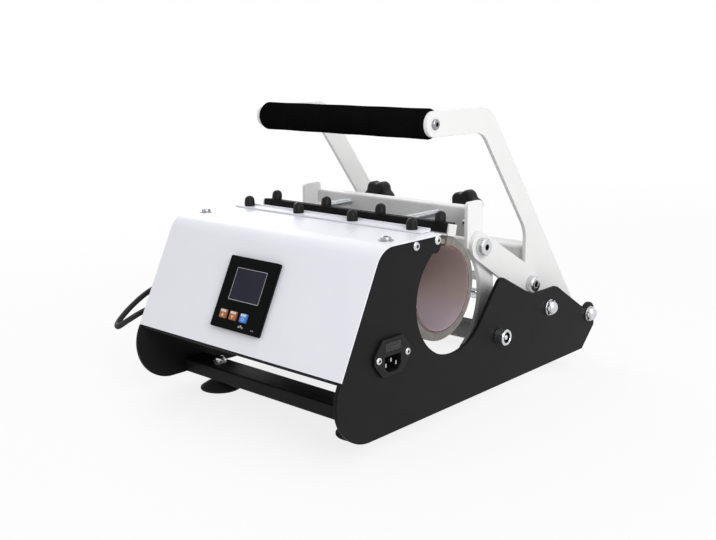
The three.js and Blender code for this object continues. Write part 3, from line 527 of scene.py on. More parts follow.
# Side plates
side = {"inner": 141.0, "thick": 4.0, "toe": 43.0, "slope": 64.1, "end": 445.2, "edge": 0.45,
        "leadHole": (75.0, 72.0), "inletAt": (71.2, 75.1)}
box = {"sheet": 1.5, "lap": 1.8, "half": 140.7, "foot": 65.3, "top": 176.0, "rear": 145.0, "knee": 25.0,
       "window": (31.3, 33.3), "panelRise": 54.7, "panelX": 0.6}
throat, throatRadius = (166.4, 111.9), 57.6
framePivot, tieRod, handlePivot = (243.5, 55.0), (342.2, 65.8), (431.7, 40.3)
frameLinkPin, armLinkPin = (240.0, 146.8), (336.0, 90.4)
outer = side["inner"] + side["thick"]
slope = radians(side["slope"])
slopeStart = (side["toe"] * (1 - sin(slope)), side["toe"] * (1 + cos(slope)))


def slopeY(z, depth=0.0):
    return slopeStart[0] + (z - slopeStart[1]) / np.tan(slope) + depth / sin(slope)


def besideSlope(rise, depth=0.0):
    # a distance up the slope from the cover's lower edge, and a depth square to it
    return (slopeY(box["foot"]) + rise * cos(slope) + depth * sin(slope),
            box["foot"] + rise * sin(slope) - depth * cos(slope))


def fromSlope(points):
    # panel millimetres (across, up the slope, out of it) turned about x by the slope's angle
    y, z = besideSlope(box["panelRise"] + points[..., 1], -points[..., 2])
    return np.stack((points[..., 0] + box["panelX"], y, z), axis=-1)


def onSlope(shapes):
    return moved(shapes, fromSlope)


def makeSidePlates():
    # above the cover's lower edge the outline steps in, so that the cover laps over it
    toe, lap, near = side["toe"], box["lap"], side["inner"]
    top, end = box["top"] - lap, side["end"]
    shape = outline(
        arcRun((toe, toe), toe, 270, 90 + side["slope"]),
        besideSlope(-0.3), besideSlope(-0.3, lap),
        (slopeY(top, lap), top, box["knee"] - lap),
        arcRun((136.9, top - 7.9), 7.9, 90, -111, 6),
        arcRun(throat, throatRadius, 125.1, 319.9, 2.5),
        (246.5, 117.7, 9),
        (307, 87, 15),
        (tieRod[0] + 15.3, 87, 12),
        (handlePivot[0] - 12.6, handlePivot[1] + 9.7),
        arcRun(handlePivot, 13.5, 145, 0, 6),
        (end, 24.3, 1.5),
        (end - 25.5, 0, 1.5),
    )
    bores = [circle(framePivot, 5.3), circle(tieRod, 6.3), circle(handlePivot, 5.3)]
    left = plate([shape, *bores, circle(side["leadHole"], 6.5)], near, outer, side["edge"], rim=1)
    right = plate([shape, *bores, rectangle(side["inletAt"], (27.8, 33.3))], near, outer, side["edge"], rim=1)
    for hand, made in (("left", mirrored(left)), ("right", right)):
        # the rim finish paints the plates' edge walls darker than their faces, as painted shade
        addPiece("plate_" + hand, made, ("charcoal_coat", "edge_painted_shade"), "side_plate_" + hand)


makeSidePlates()
print("side plates cut")


# Screws and nuts

def screwHead(radius, height, socket, depth, centre, seat, axis="x", finish=0, recess=1, dome=0.75,
              start=0.0):
    # a domed head from its seat outwards, with a six-sided recess; start is how far the shank goes in
    top, rim = seat + height, seat + height * (1 - dome)
    crown = domed(radius - socket * 1.2, rim, height * dome) + (socket * 1.2, 0)
    head = np.vstack(([(0, seat - start), (radius * 0.5, seat - start), (radius * 0.5, seat), (radius, seat),
                       (radius, rim)], crown[1:], (socket, top - 0.15)))
    # the recess takes the finish numbered recess; on steel heads that is a near-black, painted shade inside
    # the socket
    well = [(socket, top - 0.15), (socket, top - depth), (0, top - depth * 1.15)]
    return (turned(head, centre, axis, 36, finish, hexed=(len(head) - 1,))
            + turned(well, centre, axis, 36, recess, hexed=(0, 1)))


def capScrewHead(radius, height, socket, depth, centre, seat, start, shank, grooves=30):
    # a straight head with a finely grooved side: radius minus a groove depth times a square-cornered wave
    top = seat + height
    head = [(0, seat - start), (shank, seat - start), (shank, seat), (radius - 0.5, seat),
            (radius, seat + 0.5), (radius, top - 1.2), (radius - 1.0, top), (socket * 1.25, top),
            (socket, top - 0.3)]
    # the socket takes the second finish, a near-black painted shade inside it
    well = [(socket, top - 0.3), (socket, top - depth), (0, top - depth * 1.2)]

    def knurled(r, angle):
        wave = 0.5 * (1 - np.tanh(3 * np.cos(grooves * angle)))
        row = np.arange(len(r))[:, None]
        return np.where((row == 4) | (row == 5), r - 0.3 * wave, r)

    return (turned(head, centre, sides=6 * grooves, hexed=(len(head) - 1,), lobes=knurled)
            + turned(well, centre, sides=6 * grooves, finish=1, hexed=(0, 1)))


def domeNut(centre, seat, radius=9.0, height=9.3, washer=1.2, finish=0, axis="x"):
    # a washer, a six-sided body with its corners eased, and a quarter-ellipse cap
    low, flat = seat + washer, seat + height * 0.52
    ring = [(0, seat), (radius, seat), (radius, low), (radius - 0.3, low), (0, low)]
    body = [(0, low), (radius * 0.98, low), (radius * 0.98, flat - 0.8), (radius * 0.84, flat)]
    dome = domed(radius * 0.78, flat, height * 0.48, 9)
    return (turned(ring, centre, axis, 36, finish)
            + turned(np.vstack((body, dome)), centre, axis, 48, finish, hexed=(1, 2)))


def washer(radius, hole, near, far, centre, axis="x", ease=0.25):
    section = [(hole, near), (radius, near), (radius, far), (hole, far), (hole, near)]
    return turned(softened(section, ease), centre, axis)


def rod(radius, length, centre, ease=0.5):
    # a round bar as long on both sides of the middle
    ends = [(0, -length), (radius - ease, -length), (radius, -length + ease), (radius, length - ease),
            (radius - ease, length), (0, length)]
    return turned(ends, centre, sides=32)


shafts = {"pivot": 5.0, "tie": 6.0, "collar": 8.5, "collarLength": 11.0, "bush": (8.0, 5.3, 118.8, 140.7)}


def makeShafts():
    seat, bright = outer + 0.3, ("zinc_steel", "recess_painted_shade")
    r, end = shafts["collar"], seat + shafts["collarLength"]
    collar = [(4.5, seat), (r - 0.6, seat), (r, seat + 0.6), (r, end - 1), (r - 0.8, end), (r - 2.4, end),
              (r - 2.9, end - 0.5)]
    # the collar's socket takes the second finish, a near-black painted shade
    well = [(r - 2.9, end - 0.5), (r - 2.9, end - 5), (0, end - 5)]
    core = [(2.7, end - 5.2), (2.7, end - 1.4), (2.2, end - 1), (0, end - 1)]
    ends = (turned(collar, framePivot, sides=44) + turned(well, framePivot, sides=44, finish=1)
            + turned(core, framePivot, sides=24))
    bar = rod(shafts["pivot"], seat + 1, framePivot)
    addPiece("pivot_shaft", bar + ends + mirrored(ends), bright, "frame_pivot_shaft", weighted=False)
    for name, centre, radius, node in (("tie_rod", tieRod, shafts["tie"], "rear_tie_rod"),
                                       ("handle_rod", handlePivot, shafts["pivot"], "handle_pivot_rod")):
        nut = domeNut(centre, seat)
        addPiece(name, rod(radius, seat + 1, centre) + nut + mirrored(nut), bright, node, weighted=False)
    for name, centre in (("frame", framePivot), ("handle", handlePivot)):
        bush = washer(*shafts["bush"], centre, ease=0.4)
        addPair(name + "_bush", bush, "brushed_steel", name + "_spacer", weighted=False)


makeShafts()
print("shafts turned")


# Box between the plates

def makeCover():
    # the outer face is the sheet's path carried across x; the window's face is left out before the wall
    top, (wide, high) = box["top"], box["window"]
    path = outline(besideSlope(0), (slopeY(top), top, box["knee"]), (box["rear"], top), closed=False,
                   steps=16)
    cuts = np.array([besideSlope(box["panelRise"] + step) for step in (-high, high)])
    path = np.vstack((path[:1], cuts, path[1:]))
    x = np.array((-outer, box["panelX"] - wide, box["panelX"] + wide, outer))
    points = np.stack(np.broadcast_arrays(x[None, :], path[:, :1], path[:, 1:]), axis=-1)
    place, quads, mark = grid(points, closeColumns=False)
    quads = np.delete(quads, len(x), axis=0)  # the middle face of the second row
    cover = addPiece("cover", [(place, quads, mark)], "white_coat", "front_cover", sharp=25, weighted=False)
    facing = np.array([polygon.normal for polygon in cover.data.polygons]).mean(axis=0)
    if facing[1] > 0:
        cover.data.flip_normals()
    modify(cover, "sheet", "SOLIDIFY", thickness=box["sheet"] / 1000, offset=-1, use_even_offset=True)
    modify(cover, "edge", "BEVEL", width=0.0003, segments=2, limit_method="ANGLE", angle_limit=radians(50))
    modify(cover, "face_normals", "WEIGHTED_NORMAL", keep_sharp=True)


def makeTray():
    lap, step = box["lap"], 61.3
    path = outline((105, 170), (105, 54, 1.6), (27, 54, 1.6), (22, step, 1.6), (slopeY(step, lap), step, 1.6),
                   (slopeY(step + 14, lap), step + 14), closed=False)
    addPiece("tray", bentSheet(path, -box["sheet"], box["half"], 0.25), "charcoal_coat", "inner_tray")


beam = {"wide": 30.0, "high": 15.0, "wall": 2.0, "seat": 0.3, "faces": (60.0, 369.0),
        "footX": (-101.0, 101.0), "footY": (76.0, 384.0)}


def makeCrossmembers():
    # rectangular tubes, with the nuts of the feet's studs on top
    wide, high, wall, seat = (beam[key] for key in ("wide", "high", "wall", "seat"))
    for name, face, footY in zip(("front", "rear"), beam["faces"], beam["footY"]):
        centre = (face + wide / 2, seat + high / 2)
        bore = rectangle(centre, (wide - 2 * wall, high - 2 * wall), 0.8)
        tube = plate([rectangle(centre, (wide, high), 2.4), bore], -box["half"], box["half"], 0.3)
        for footX in beam["footX"]:
            tube += domeNut((footX, footY), seat + high, 7.4, 8.2, 1.0, 1, "z")
        addPiece(name + "_beam", tube, ("charcoal_coat", "zinc_steel"), name + "_crossmember")


def makeFeet():
    # soft feet: a wide lip on the bench, a waist, and a round seat under the crossmember
    profile = softened([(0, 2.6), (13, 2.2, 3), (20.5, 0.0, 0.4), (22, 0.0, 0.5), (22, 1.6, 1), (15, 6.2, 5),
                        (9.6, 9.4, 3), (9.0, 13, 0.8), (0, 13)], 0.3, 6)
    for number, place in enumerate([(x, y) for y in beam["footY"] for x in beam["footX"]], 1):
        foot = moved(turned(profile, place, "z", 48), lambda points: points - (0, 0, plateLift))
        addPiece("foot_pad_%d" % number, foot, "rubber_black", "foot_%d" % number, weighted=False)


makeCover()
makeTray()
makeCrossmembers()
makeFeet()
print("box closed")


# Controller on the front slope; its own millimetres run across, up the slope and out of it
controller = {"size": (68.0, 72.0), "body": (62.0, 66.0), "proud": 5.0, "screen": (41.0, 30.8),
              "screenAt": (1.5, 8.9), "keys": (-19.1, -5.1, 9.8), "keyRise": -22.0, "key": (9.4, 9.0),
              "line": 0.7}


def makeController():
    size, proud, at = controller["size"], controller["proud"], controller["screenAt"]
    screen, key, line = np.array(controller["screen"]), np.array(controller["key"]), controller["line"]
    keyHoles = [rectangle((x, controller["keyRise"]), key + 0.6, 1.2) for x in controller["keys"]]
    face = plate([rectangle((0, 0), size, 1.6), rectangle(at, screen, 0.6), *keyHoles], 2.3, proud, 0.5, "z")
    back = plate([rectangle((0, 0), size, 1.6)], 0.3, 2.3, 0.25, "z", 1)
    body = plate([rectangle((0, 0), controller["body"], 1.2)], -38, 0.3, 0.6, "z", 1)
    for x in (-22, -11, 0, 11, 22):  # terminal screws on the back
        head = screwHead(2.8, 1.4, 1.0, 0.9, (x, 0), 0, "z", 2, 1)
        body += moved(head, lambda points: points * (1, 1, -1) + (0, 12, -36.3))
    border = plate([rectangle(at, screen + 2 * line + 0.2, 0.8), rectangle(at, screen + 0.2, 0.4)],
                   proud - 0.1, proud + 0.05, 0.02, "z", 3)
    dots = []
    for x, y, r in ((6.0, -31.0, 1.1), (8.6, -30.2, 1.3), (11.0, -31.2, 1.0), (24, -31.6, 0.6),
                    (26.2, -31.6, 0.6)):
        dot = [(0, proud - 0.1), (r, proud - 0.1), (r, proud + 0.03), (0, proud + 0.05)]
        dots += turned(dot, (x, y), "z", 16, 4)
    addPiece("controller_case", onSlope(face + back + body + border + dots),
             ("gloss_black", "moulded_black", "zinc_steel", "frame_pale", "mark_pale"), "controller_housing")
    glass = plate([rectangle(at, screen - 0.4, 0.6)], 3.3, 4.6, 0.25, "z")
    addPiece("controller_display", onSlope(glass), "screen_slate", "controller_screen")


def triangleLoop(centre, size, up):
    (a, b), s = centre, 1 if up else -1
    return outline((a - size, b - 0.6 * size * s, 0.25), (a + size, b - 0.6 * size * s, 0.25),
                   (a, b + size * s, 0.25))


def makeKeys():
    # a soft-cornered cap, a pale bar along its upper edge and a raised mark: up, down and a ring
    (w, h), y, top = controller["key"], controller["keyRise"], controller["proud"] + 1.6
    for number, x, tint in zip((1, 2, 3), controller["keys"], ("key_orange", "key_orange", "key_blue")):
        cap = plate([rectangle((x, y), (w, h), 1.3)], top - 3, top - 0.12, 0.55, "z")
        stripe = rectangle((x, y + h * 0.3), (w * 0.82, h * 0.26), 0.5)
        bar = plate([stripe], top - 0.4, top - 0.03, 0.05, "z", 1)
        ring = [circle((x, y - 1.2), radius, 12) for radius in (2.0, 1.1)]
        loops = ring if number == 3 else [triangleLoop((x, y - 1.3), 2.2, number == 1)]
        mark = plate(loops, top - 0.4, top, 0.05, "z", 2)
        addPiece("key_%d" % number, onSlope(cap + bar + mark), (tint, "key_pale", tint + "_light"),
                 "button_%d" % number, "button_%d" % number)


makeController()
makeKeys()
print("controller fitted")


# Power inlet on the right plate
inlet = {"half": (13.75, 16.5), "ear": 25.0, "pitch": 40.0, "proud": 3.0, "socket": (22.5, 15.0),
         "socketRise": -6.5, "drawer": (21.0, 8.0), "drawerRise": 9.5}


def makeInlet():
    (y, z), (w, h), ear, pitch = side["inletAt"], inlet["half"], inlet["ear"], inlet["pitch"] / 2
    seat = outer + 0.3
    face, sz = seat + inlet["proud"], z + inlet["socketRise"]
    sw, sh = (size / 2 for size in inlet["socket"])

    def around(level, *corners):
        return outline(*((y + a, level + b, rounding) for a, b, rounding in corners))

    flangeLoop = around(z, (-ear, -4, 3), (-w, -h - 1, 2), (w, -h - 1, 2), (ear, -4, 3), (ear, 4, 3),
                        (w, h + 1, 2), (-w, h + 1, 2), (-ear, 4, 3))
    # the socket's two lower corners are cut off, as the connector's are
    socket = around(sz, (-sw, sh, 1), (-sw, 5 - sh, 1), (5 - sw, -sh, 1), (sw - 5, -sh, 1), (sw, 5 - sh, 1),
                    (sw, sh, 1))
    dw, dh = inlet["drawer"]
    drawerAt = (y, z + inlet["drawerRise"])
    slotLoop = rectangle(drawerAt, (dw + 0.6, dh + 0.6), 0.4)
    holes = [circle((y + shift, z), 1.8) for shift in (-pitch, pitch)]
    core = rectangle((y, z), (2 * w - 0.3, 2 * h - 0.3), 0.8)
    shapes = (plate([flangeLoop, socket, slotLoop, *holes], seat, face, 0.5)
              + plate([core, socket, slotLoop], face - 15, seat + 0.1, 0.2)
              + plate([core], face - 27, face - 15, 0.5, finish=1))
    for shift, rise in ((-7, -1.5), (7, -1.5), (0, 2.6)):
        pin = rectangle((y + shift, sz + rise), (2.0, 4.0), 0.5)
        shapes += plate([pin], face - 15.5, face - 2.2, 0.6, finish=2)
    for shift in (-pitch, pitch):
        shapes += screwHead(3.4, 2.0, 1.5, 1.2, (y + shift, z), face, finish=2, recess=3, start=2.5)
    addPiece("inlet", shapes, ("moulded_black", "moulded_black", "zinc_steel", "recess_painted_shade"), "power_inlet")
    front = rectangle(drawerAt, (dw, dh), 0.6)
    drawer = plate([front], face - 20, face - 0.3, 0.3) + plate([front], face - 0.3, face + 0.35, 0.25)
    for step in np.linspace(-0.36, 0.36, 6):
        rib = rectangle((y, drawerAt[1] + step * dh), (dw * 0.86, 0.55), 0.2)
        drawer += plate([rib], face, face + 0.75, 0.2)
    drawer += plate([rectangle(drawerAt, (dw * 0.48, dh * 0.22), 0.5)], face, face + 1.2, 0.35)
    addPiece("drawer", drawer, "drawer_grey", "fuse_drawer", "fuse_drawer")


board = {"at": (78.0, 62.0), "size": (65.0, 56.0), "floor": 55.8, "rise": 8.6, "thick": 1.6,
         "post": (27.5, 23.0), "pitch": 5.0,
         # relay, transformer's core and winding, terminals: place, size, from and to, corner, edge and finish
         "blocks": ((-14, 0, (20, 16), 0, 15, 0.8, 0.6, 3), (16, 0, (24, 22), 0, 8, 0.8, 0.6, 4),
                    (16, 0, (18, 22), 8, 20, 0.8, 0.6, 3), (-10, -21, (30, 9), 0, 7, 0.5, 0.4, 5)),
         "cans": ((-26, 12), (-20, 16), (22, -17), (27, -13))}


def makeBoard():
    # a lacquered board on four posts, with its parts
    (x, y), floor, (postX, postY) = board["at"], board["floor"], board["post"]
    top = floor + board["rise"]
    under = top - board["thick"]
    shapes = plate([rectangle((x, y), board["size"], 1.5)], under, top, 0.15, "z")
    for place in [(x + a * postX, y + b * postY) for a in (-1, 1) for b in (-1, 1)]:
        shapes += turned([(0, floor), (3, floor), (3, under), (0, under)], place, "z", 6, 1)
        shapes += screwHead(2.6, 1.6, 1.0, 0.9, place, top, "z", 1, 2)
    for a, b, size, low, high, ease, edge, finish in board["blocks"]:
        shapes += plate([rectangle((x + a, y + b), size, ease)], top + low, top + high, edge, "z", finish)
    for step in range(6):
        place = (x - 22.5 + board["pitch"] * step, y - 21)
        shapes += screwHead(1.6, 0.8, 0.7, 0.6, place, top + 6.6, "z", 1, 2)
    can = [(0, top), (2.4, top), (2.4, top + 6), (2.0, top + 6.4), (0, top + 6.4)]
    for a, b in board["cans"]:
        shapes += turned(can, (x + a, y + b), "z", 20, 5)
    addPiece("relay_board", shapes,
             ("board_green", "zinc_steel", "recess_painted_shade", "moulded_black", "brushed_steel", "key_blue"),
             "control_board")


makeInlet()
makeBoard()
print("inlet and board fitted")


# Heater: a bent stack of layers
heater = {"centre": (166.0, 116.9), "inner": 41.4, "liner": 1.7, "outer": 51.9, "skin": 0.9, "half": 131.5,
          "front": 115.0, "rear": 440.0, "bendStart": 152.7, "bendEnd": 170.4,
          "paintedLightFrom": 0.087, "paintedLightTo": 0.125}


def linerFinish():
    # grey-brown above, turning to a cooler lilac pink near the bottom as a painted lighting tint, with a faint
    # weave pressed into it
    material = plainFinish("heater_lining", "silicone", (0.2, 0.15, 0.14), (0.24, 0.18, 0.17), (0.3, 0.45),
                           grain=700, bump=0.05, coat=0.1)
    # painted light: with height the lining's colour turns from lilac pink to grey-brown, standing in for how
    # light falls inside the bore
    height = ramp(material, objectHeight(material), heater["paintedLightFrom"], heater["paintedLightTo"], kind="SMOOTHSTEP")
    patches = noise(material, objectPlace(material), 26.0)
    lower = mixColours(material, patches, (0.5, 0.42, 0.46), (0.4, 0.34, 0.4))
    upper = mixColours(material, patches, (0.38, 0.29, 0.27), (0.46, 0.36, 0.34))
    setShader(material, Base_Color=mixColours(material, height, lower, upper))
    return material


def makeHeater():
    half, centre, ends = heater["half"], heater["centre"], (heater["front"], heater["rear"])
    inner, liner, outside, skin = (heater[key] for key in ("inner", "liner", "outer", "skin"))
    start, end = (tuple(toRow((0, heater[key], heater[key]))) for key in ("bendStart", "bendEnd"))
    padLoop = ringStrip(centre, inner + liner + 0.05, outside - skin - 0.05, *ends)
    pad = plate([padLoop], -half + 1.7, half - 1.7, 0.5)
    shell = plate([ringStrip(centre, outside - skin, outside, *ends)], -half + 1.9, half - 1.9, 0.25, finish=1)
    lining = plate([ringStrip(centre, inner, inner + liner, *ends)], -half, half, 0.3, finish=3, rim=2)
    wrap = addPiece("heater_wrap", pad + shell + lining,
                    ("insulation", "heater_skin", "heater_lining", "liner_edge"),
                    ("heater_wrap_front", "heater_wrap_rear"), None)
    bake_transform(wrap)
    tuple(start)
    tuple(end)


linerFinish()
makeHeater()


def makeWrapEdges():
    # the front tongue climbs from the wrap to the clamp strip; the rear one is folded under the clamp bar
    half, centre, inner = heater["half"], heater["centre"], heater["inner"]
    top = box["top"] - box["lap"] - 1.6
    first, last = roundPoints(centre, inner + 1.5, (116, 121))
    path = outline(last, (first[0] - 2.2, first[1] + 1.5, 3), (140.6, centre[1] + 46, 4), (140.6, top, 2),
                   (134.5, top), closed=False)
    addPiece("front_tongue", bentSheet(path, 1.5, half - 2, 0.3), "tongue_brown")
    rise = (441.5, 448, 455, 462, 467)
    lip = bentSheet(roundPoints(centre, inner + 0.8, rise), -1.2, half - 2.3, 0.3)
    felt = bentSheet(roundPoints(centre, inner + 7.2, rise[:4]), 5.0, half - 3.3, 0.6, 1)
    addPiece("rear_lip", lip + felt, ("liner_edge", "insulation"), (), "press_frame")


makeWrapEdges()
print("heater wrapped")


# Clamp rows on the heater's two edges
clamps = {"frontX": (-115, -38.33, 38.33, 115), "frontY": 138.3, "rearX": (-116.3, -38.77, 38.77, 116.3),
          "rearY": (173.1, 187.1), "barZ": (170.2, 180.0), "barHalf": 130.0, "cap": 5.6,
          "strip": (131.0, 146.0), "stripHalf": 131.5, "stripUp": 1.8, "lip": 1.8, "block": (129.95, 132.4),
          "blockZ": (167.0, 178.8), "blockWide": 12.4, "lean": 6.0}


def capShapes(x, y, seat, height, stud):
    # a stud, a skirt with a shallow waist and a round top
    r = clamps["cap"]
    skirt = [(0, seat - stud), (2, seat - stud), (2, seat), (r, seat), (r, seat + height * 0.42),
             (r - 0.25, seat + height * 0.5)]
    crown = domed(r - 0.25, seat + height * 0.55, height * 0.45, 9)
    return turned(np.vstack((skirt, crown)), (x, y), "z", 28)


def makeClampRows():
    sheet, (front, back), up = box["sheet"], clamps["strip"], box["top"] + clamps["stripUp"]
    path = outline((front, up), (back - sheet, up, 0.6), (back - sheet, up + clamps["lip"]), closed=False)
    addPiece("front_strip", bentSheet(path, -sheet, clamps["stripHalf"], 0.3), "white_coat",
             "front_clamp_strip")
    for number, x in enumerate(clamps["frontX"], 1):
        cap = capShapes(x, clamps["frontY"], up, 11.2, 3)
        addPiece("front_screw_cap_%d" % number, cap, "moulded_black", "front_cap_%d" % number, weighted=False)
    (y0, y1), (z0, z1), (low, high), lean = (clamps[key] for key in ("rearY", "barZ", "blockZ", "lean"))
    middle, pivot = (y0 + y1) / 2, ((y0 + y1) / 2, (z0 + z1) / 2)
    bores = [circle((x, middle), 2.3, 15) for x in clamps["rearX"]]
    bar = plate([rectangle((0, middle), (2 * clamps["barHalf"], y1 - y0), 0.8), *bores], z0, z1, 0.5, "z")
    endBlock = plate([rectangle((middle, (low + high) / 2), (clamps["blockWide"], high - low), 0.8)],
                     *clamps["block"], 0.5, finish=1)
    endBlock = tipped(endBlock, pivot, lean)
    bar = tipped(bar + endBlock + mirrored(endBlock), pivot, lean)
    addPiece("rear_bar", bar, ("bar_black", "pale_plastic"), "rear_clamp_bar", "rear_clamp")
    for number, x in enumerate(clamps["rearX"], 1):
        cap = tipped(capShapes(x, middle, z1 + 0.3, 10.2, 9), pivot, lean)
        addPiece("rear_screw_cap_%d" % number, cap, "moulded_black", "rear_cap_%d" % number, "rear_clamp",
                 weighted=False)


makeClampRows()
print("clamp rows set")


# Press frame
cradle = {"centre": (182.5, 97.0), "inner": 64.5, "outer": 89.0, "tail": -54.0, "arm": 114.0, "thick": 4.5,
          "blockFront": 223.5, "blockRear": 250.0, "blockTop": 193.5, "knobX": 63.5, "knobZ": 175.1,
          "bracketY": (245.0, 256.5), "bracketZ": (152.5, 185.0), "screw": (100.0, 168.0), "between": 113.7,
          "coatRow": (0.128, 0.152), "paintedShadeRow": (0.05, 0.115)}


def frameSideFinish():
    # white coat on the upper block, brushed metal below: colour and metal follow the height, and the metal is
    # painted darker towards the bottom as painted shade
    material = plainFinish("frame_side_metal", "brushed_steel", 0.5, 0.4, (0.3, 0.4),
                           grain=300, stretch=(2.0, 2.0, 0.12), bump=0.1, depth=0.0001, patch=14)
    height = objectHeight(material)
    coated = ramp(material, height, *cradle["coatRow"], kind="SMOOTHSTEP")
    # painted shade: the metal's colour darkens from light higher up to dark low down
    paintedShade = ramp(material, height, *cradle["paintedShadeRow"])
    metal = mixColours(material, paintedShade, (0.16, 0.16, 0.16), (0.74, 0.74, 0.74))
    setShader(material, Base_Color=mixColours(material, coated, metal, (0.8, 0.8, 0.8)),
              Metallic=ramp(material, coated, 0.0, 1.0, 0.55, 0.0))
    return material


def makePressFrame():
    centre, inner, outside, tail = (cradle[key] for key in ("centre", "inner", "outer", "tail"))
    (tailCentre,) = roundPoints(centre, (inner + outside) / 2, [tail])
    corners = [(cradle[key], cradle["blockTop"], 5) for key in ("blockFront", "blockRear")]
    frontAngle, rearAngle = (np.degrees(np.arccos((corner[0] - centre[0]) / radius))
                             for corner, radius in zip(corners, (inner, outside)))
    shape = outline(corners, arcRun(centre, outside, rearAngle, tail, 2.5),
                    arcRun(tailCentre, (outside - inner) / 2, tail, tail - 180, 8),
                    arcRun(centre, inner, tail, frontAngle, 2.5))
    near, far = cradle["arm"], cradle["arm"] + cradle["thick"]
    arm = plate([shape, circle(framePivot, 5.1), circle(frameLinkPin, 4.3)], near, far, 0.5)
    addPair("cradle_side", arm, "frame_side_metal", "frame_side", "press_frame")
    (face, back), (low, high), between = cradle["bracketY"], cradle["bracketZ"], cradle["between"]
    path = outline((back, low), (face, low, 2.6), (face, high, 2.6), (back, high), closed=False)
    web, (x, z) = bentSheet(path, -3, between, 0.3), cradle["screw"]
    for place in ((-x, z), (x, z)):
        head = screwHead(4.2, 2.6, 1.6, 1.6, place, 0, "y", 1, 2)
        web += moved(head, lambda points: points * (1, -1, 1) + (0, face, 0))
    addPiece("bracket", web, ("bracket_grey", "zinc_steel", "recess_painted_shade"), "frame_bracket", "press_frame")
    # each strip: its name, finish, depth in the frame from and to, and angles from and to
    for name, finish, near, far, start, end in (("upper", "brushed_steel", 4, 2, 10, 18),
                                                ("lower", "zinc_steel", 2, 0.5, -46, -30)):
        loop = ringStrip(centre, inner + near, inner + far, start, end, 2)
        shapes = plate([loop], -between, between, 0.3)
        addPiece("strip_" + name, shapes, finish, "cradle_strip_" + name, "press_frame")
    bar = rod(2.5, between, (centre[0] + inner + 2.2, centre[1] - 2))
    addPiece("rod_rear", bar, "zinc_steel", "cradle_rod", "press_frame", weighted=False)


frameSideFinish()
makePressFrame()
print("press frame set")


# Knob screws and star knobs
knobs = {"hubFrom": 248.4, "from": 289.0, "stud": (177.1, 298.0), "deep": 17.0, "radius": 19.7, "lobes": 6,
         "lobe": 3.4, "pitch": 1.25, "hub": 5.8, "turn": {"left": 1.5, "right": 15.5}}


def threadedRod(radius, start, end, centre, pitch, depth=0.45):
    # radius minus the thread's depth times a triangle wave of height / pitch + angle / full turn
    angle = np.linspace(0, 2 * np.pi, 24, endpoint=False)
    height = np.arange(start + 1, end - 1, pitch / 5)
    wave = np.abs(((height[:, None] / pitch + angle / (2 * np.pi)) % 1) * 2 - 1)
    closed, root = np.zeros(24), np.full(24, radius - depth - 0.3)
    r = np.vstack((closed, root, radius - depth * wave, root, closed))
    h = np.concatenate(((start, start), height, (end, end)))[:, None]
    return [grid(laid(centre[0] + r * np.cos(angle), centre[1] + r * np.sin(angle), h, "y"))]


def makeKnobs():
    hubFrom, front, radius, hub = (knobs[key] for key in ("hubFrom", "from", "radius", "hub"))
    back = front + knobs["deep"]
    # from the hub's end to the knob's face, eased at both edges; lobes pull the rim in between its points
    profile = softened([(4.1, hubFrom), (hub, hubFrom), (hub, front + 0.6), (radius - 4, front + 0.2),
                        (radius - 1.2, front + 1.2), (radius, front + 3.5), (radius, back - 5),
                        (radius - 1.6, back - 2), (radius - 5, back - 0.4), (9, back), (7.5, back - 0.8),
                        (7.0, back - 1.6), (0, back - 1.6)], 0.5)

    def lobed(r, angle):
        wave = 0.5 * (1 - np.cos(knobs["lobes"] * (angle - radians(turn)))) ** 1.25 / 2 ** 0.25
        share = np.clip((r - 8) / (radius - 8), 0, 1) ** 0.7
        return r - knobs["lobe"] * share * wave

    for hand, sign in (("left", -1), ("right", 1)):
        centre, turn = (sign * cradle["knobX"], cradle["knobZ"]), knobs["turn"][hand]
        screw = threadedRod(4.0, *knobs["stud"], centre, knobs["pitch"])
        addPiece("knob_stud_" + hand, screw, "dull_steel", "knob_screw_" + hand, "rear_clamp", sharp=60,
                 weighted=False)
        star = turned(profile, centre, "y", 120, lobes=lobed)
        addPiece("knob_" + hand + "_star", star, "moulded_black", "star_knob_" + hand, "knob_" + hand,
                 sharp=40, weighted=False)


makeKnobs()
print("knobs turned")


# Links, their bolts, and the handle
linkage = {"inner": 119.0, "thick": 4.5, "frameEnd": 14.5, "armEnd": 17.0, "pin": 4.0, "nut": (107.2, 112.2)}


def makeLinks():
    run = np.array(armLinkPin) - np.array(frameLinkPin)
    frameEnd, armEnd, near, (low, high) = (linkage[key] for key in ("frameEnd", "armEnd", "inner", "nut"))
    turn = np.degrees(np.arctan2(run[1], run[0]))
    lean = np.degrees(np.arcsin((armEnd - frameEnd) / np.hypot(*run)))
    shape = np.vstack((arcRun(frameLinkPin, frameEnd, turn + 90 + lean, turn + 270 - lean),
                       arcRun(armLinkPin, armEnd, turn - 90 - lean, turn + 90 + lean)))
    far = near + linkage["thick"]
    link = plate([shape, circle(frameLinkPin, 4.1), circle(armLinkPin, 4.3)], near, far, 0.45)
    addPair("link_bar", link, "arm_coat", "link", "links")
    seat = far + 0.3
    for name, centre, r, body in (("link_frame_bolt", frameLinkPin, 9, "press_frame"),
                                  ("link_arm_bolt", armLinkPin, 12, "links")):
        shapes = capScrewHead(9.0, 8, 3.6, 4, centre, seat, seat - low - 0.3, linkage["pin"])
        shapes += washer(r, 4.05, high, high + 1.5, centre)
        shapes += turned([(4.05, low), (r * 0.58, low), (r * 0.6, low + 0.6), (r * 0.6, high - 0.6),
                          (r * 0.58, high), (4.05, high), (4.05, low)], centre, sides=36, hexed=(1, 2, 3, 4))
        addPair(name + "_set", shapes, ("zinc_steel", "recess_painted_shade"), name, body, weighted=False)


